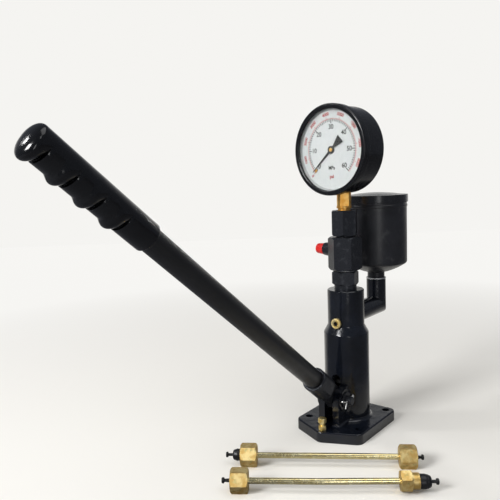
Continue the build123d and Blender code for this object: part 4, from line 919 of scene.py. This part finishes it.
stageSizes = {"front": 0.9, "back": 2.2, "half": 2.2, "fadeFrom": 0.15, "fadeTo": 1.0,
              "dimFrom": 0.0, "dimTo": 0.2, "behindRamp": (0.45, 0.8, 0, 1),
              "riseRamp": (0.22, 0.45, 1, 0), "cloudMm": 600}
stageColours = {"paper": "#efede8", "paperLight": "#f3f1ec", "paperInShade": "#6c6e75",
                "ground": "#f5f4f1", "room": "#92918f", "roomReflected": "#6a6e78"}


def behindShare(tree, direction):
    # 1 for directions well behind the object as the photograph sees it and near the level, 0 from
    # the sides round to the front and high up: the cosine between the direction and the camera's
    # level heading goes through one ramp, the direction's rise through another
    heading = math.radians(cameraSizes["headingDeg"])
    unit = addNode(tree, "ShaderNodeVectorMath", operation="NORMALIZE")
    tree.links.new(direction, unit.inputs[0])
    shares = []
    for axis, ramp in (((-math.sin(heading), math.cos(heading), 0), "behindRamp"),
                       ((0, 0, 1), "riseRamp")):
        reach = addNode(tree, "ShaderNodeVectorMath", operation="DOT_PRODUCT")
        tree.links.new(unit.outputs[0], reach.inputs[0])
        reach.inputs[1].default_value = axis
        shares.append(rampBetween(tree, reach.outputs["Value"], *stageSizes[ramp]))
    return mathNode(tree, "MULTIPLY", *shares)


def makeFloor(sizes):
    # level sheet square to the camera's heading
    heading = math.radians(cameraSizes["headingDeg"])
    forward = np.array([-math.sin(heading), math.cos(heading)])
    right = np.array([math.cos(heading), math.sin(heading)])
    along = np.array([-sizes["front"], sizes["back"]])[:, None, None]
    across = np.array([-sizes["half"], sizes["half"]])[None, :, None]
    points = np.concatenate([along * forward + across * right, np.zeros((2, 2, 1))], axis=2)
    mesh = gridMesh("studioSheet", points, closedAcross=False, facing=(0, 0, 1))
    mesh.materials.append(studioPaper(sizes))
    return addObject("studioFloor", mesh)


def studioPaper(sizes):
    # matt white paper, lit by the lamps near the object; further out the camera sees the
    # photograph's even pale ground, by a ramp over distance, and reflections find the paper dim
    # everywhere but behind the object
    material, tree, shader, where = startMaterial("mattWhitePaper", Roughness=0.9,
                                                  Specular_IOR_Level=0.1)
    ray = addNode(tree, "ShaderNodeLightPath")
    distance = addNode(tree, "ShaderNodeVectorMath", {"Vector": where}, operation="LENGTH")
    reach = distance.outputs["Value"]
    far = rampBetween(tree, reach, sizes["fadeFrom"], sizes["fadeTo"])
    seen = mathNode(tree, "MULTIPLY", far, ray.outputs["Is Camera Ray"])
    away = rampBetween(tree, reach, sizes["dimFrom"], sizes["dimTo"])
    notBehind = rampBetween(tree, behindShare(tree, where), 0, 1, 1, 0)
    beside = mathNode(tree, "MULTIPLY", away, notBehind)
    dim = mathNode(tree, "MULTIPLY", beside, ray.outputs["Is Glossy Ray"])
    cloud = noiseAt(tree, where, sizes["cloudMm"], 2)
    paper = mixColours(tree, cloud, stageColours["paper"], stageColours["paperLight"])
    paper = mixColours(tree, dim, paper, stageColours["paperInShade"])
    tree.links.new(mixColours(tree, seen, paper, "#000000"), shader.inputs["Base Color"])
    shader.inputs["Emission Color"].default_value = linearColour(stageColours["ground"])
    tree.links.new(seen, shader.inputs["Emission Strength"])
    return material


cameraSizes = {"at": (0.3409, -0.5917, 0.2950), "headingDeg": 39.186, "downDeg": 6.973,
               "rollDeg": 2.160, "lens": 42.30, "sensor": 36.0}


def makeCamera(sizes):
    # forward, right and up vectors worked out from heading, pitch and roll
    heading, down, roll = (math.radians(sizes[k]) for k in ("headingDeg", "downDeg", "rollDeg"))
    level = Vector((-math.sin(heading), math.cos(heading), 0))
    side = Vector((math.cos(heading), math.sin(heading), 0))
    above = Vector((0, 0, 1))
    forward = math.cos(down) * level - math.sin(down) * above
    upright = math.cos(down) * above + math.sin(down) * level
    right = math.cos(roll) * side - math.sin(roll) * upright
    up = math.sin(roll) * side + math.cos(roll) * upright
    data = bpy.data.cameras.new("photoView")
    data.lens = sizes["lens"]
    data.sensor_width = sizes["sensor"]
    camera = addObject("photoView", data)
    camera.matrix_world = Matrix(((right.x, up.x, -forward.x, sizes["at"][0]),
                                  (right.y, up.y, -forward.y, sizes["at"][1]),
                                  (right.z, up.z, -forward.z, sizes["at"][2]), (0, 0, 0, 1)))
    bpy.context.scene.camera = camera


# Lamps: place, what it points at, width and height in metres, watts
lampSizes = {
    "topPanel": ((0.7, 0.0, 1.8), (0.7, 0.0, 0.0), 1.7, 1.3, 10.5),
    "highFront": ((-0.42, -1.87, 1.15), (0.0, 0.0, 0.2), 0.7, 0.6, 37.0),
    "softKey": ((-1.15, -0.85, 1.2), (0.0, 0.0, 0.2), 0.15, 0.18, 4.0),
    "sideStrip": ((1.11, -1.26, 0.3), (0.0, 0.0, 0.25), 0.3, 0.8, 2.4),
}


def makeLamps(lamps):
    # one rectangular lamp each, turned so that its face looks at its target
    for name, (at, toward, width, height, watts) in lamps.items():
        data = bpy.data.lights.new(name, "AREA")
        data.shape = "RECTANGLE"
        data.size = width
        data.size_y = height
        data.energy = watts
        lamp = addObject(name, data)
        lamp.location = at
        lamp.rotation_euler = (Vector(toward) - Vector(at)).to_track_quat("-Z", "Y").to_euler()


def makeWorld():
    # the object stands in a dim room; the camera, what it sees through glass and reflections of
    # what lies behind the object get the photograph's pale ground
    world = bpy.data.worlds.new("paleRoom")
    bpy.context.scene.world = world
    world.use_nodes = True
    tree = world.node_tree
    tree.nodes.clear()
    ray = addNode(tree, "ShaderNodeLightPath")
    direction = addNode(tree, "ShaderNodeTexCoord").outputs["Generated"]
    pale = mathNode(tree, "MULTIPLY", behindShare(tree, direction), ray.outputs["Is Glossy Ray"])
    for rayName in ("Is Camera Ray", "Is Transmission Ray"):
        pale = mathNode(tree, "MAXIMUM", pale, ray.outputs[rayName])
    room = mixColours(tree, ray.outputs["Is Glossy Ray"], stageColours["room"],
                      stageColours["roomReflected"])
    shade = addNode(tree, "ShaderNodeBackground",
                    {"Color": mixColours(tree, pale, room, stageColours["ground"])})
    out = addNode(tree, "ShaderNodeOutputWorld")
    tree.links.new(shade.outputs[0], out.inputs[0])


makeFloor(stageSizes)
makeCamera(cameraSizes)
makeLamps(lampSizes)
makeWorld()
bpy.context.scene.view_settings.view_transform = "Standard"
print("stage made")
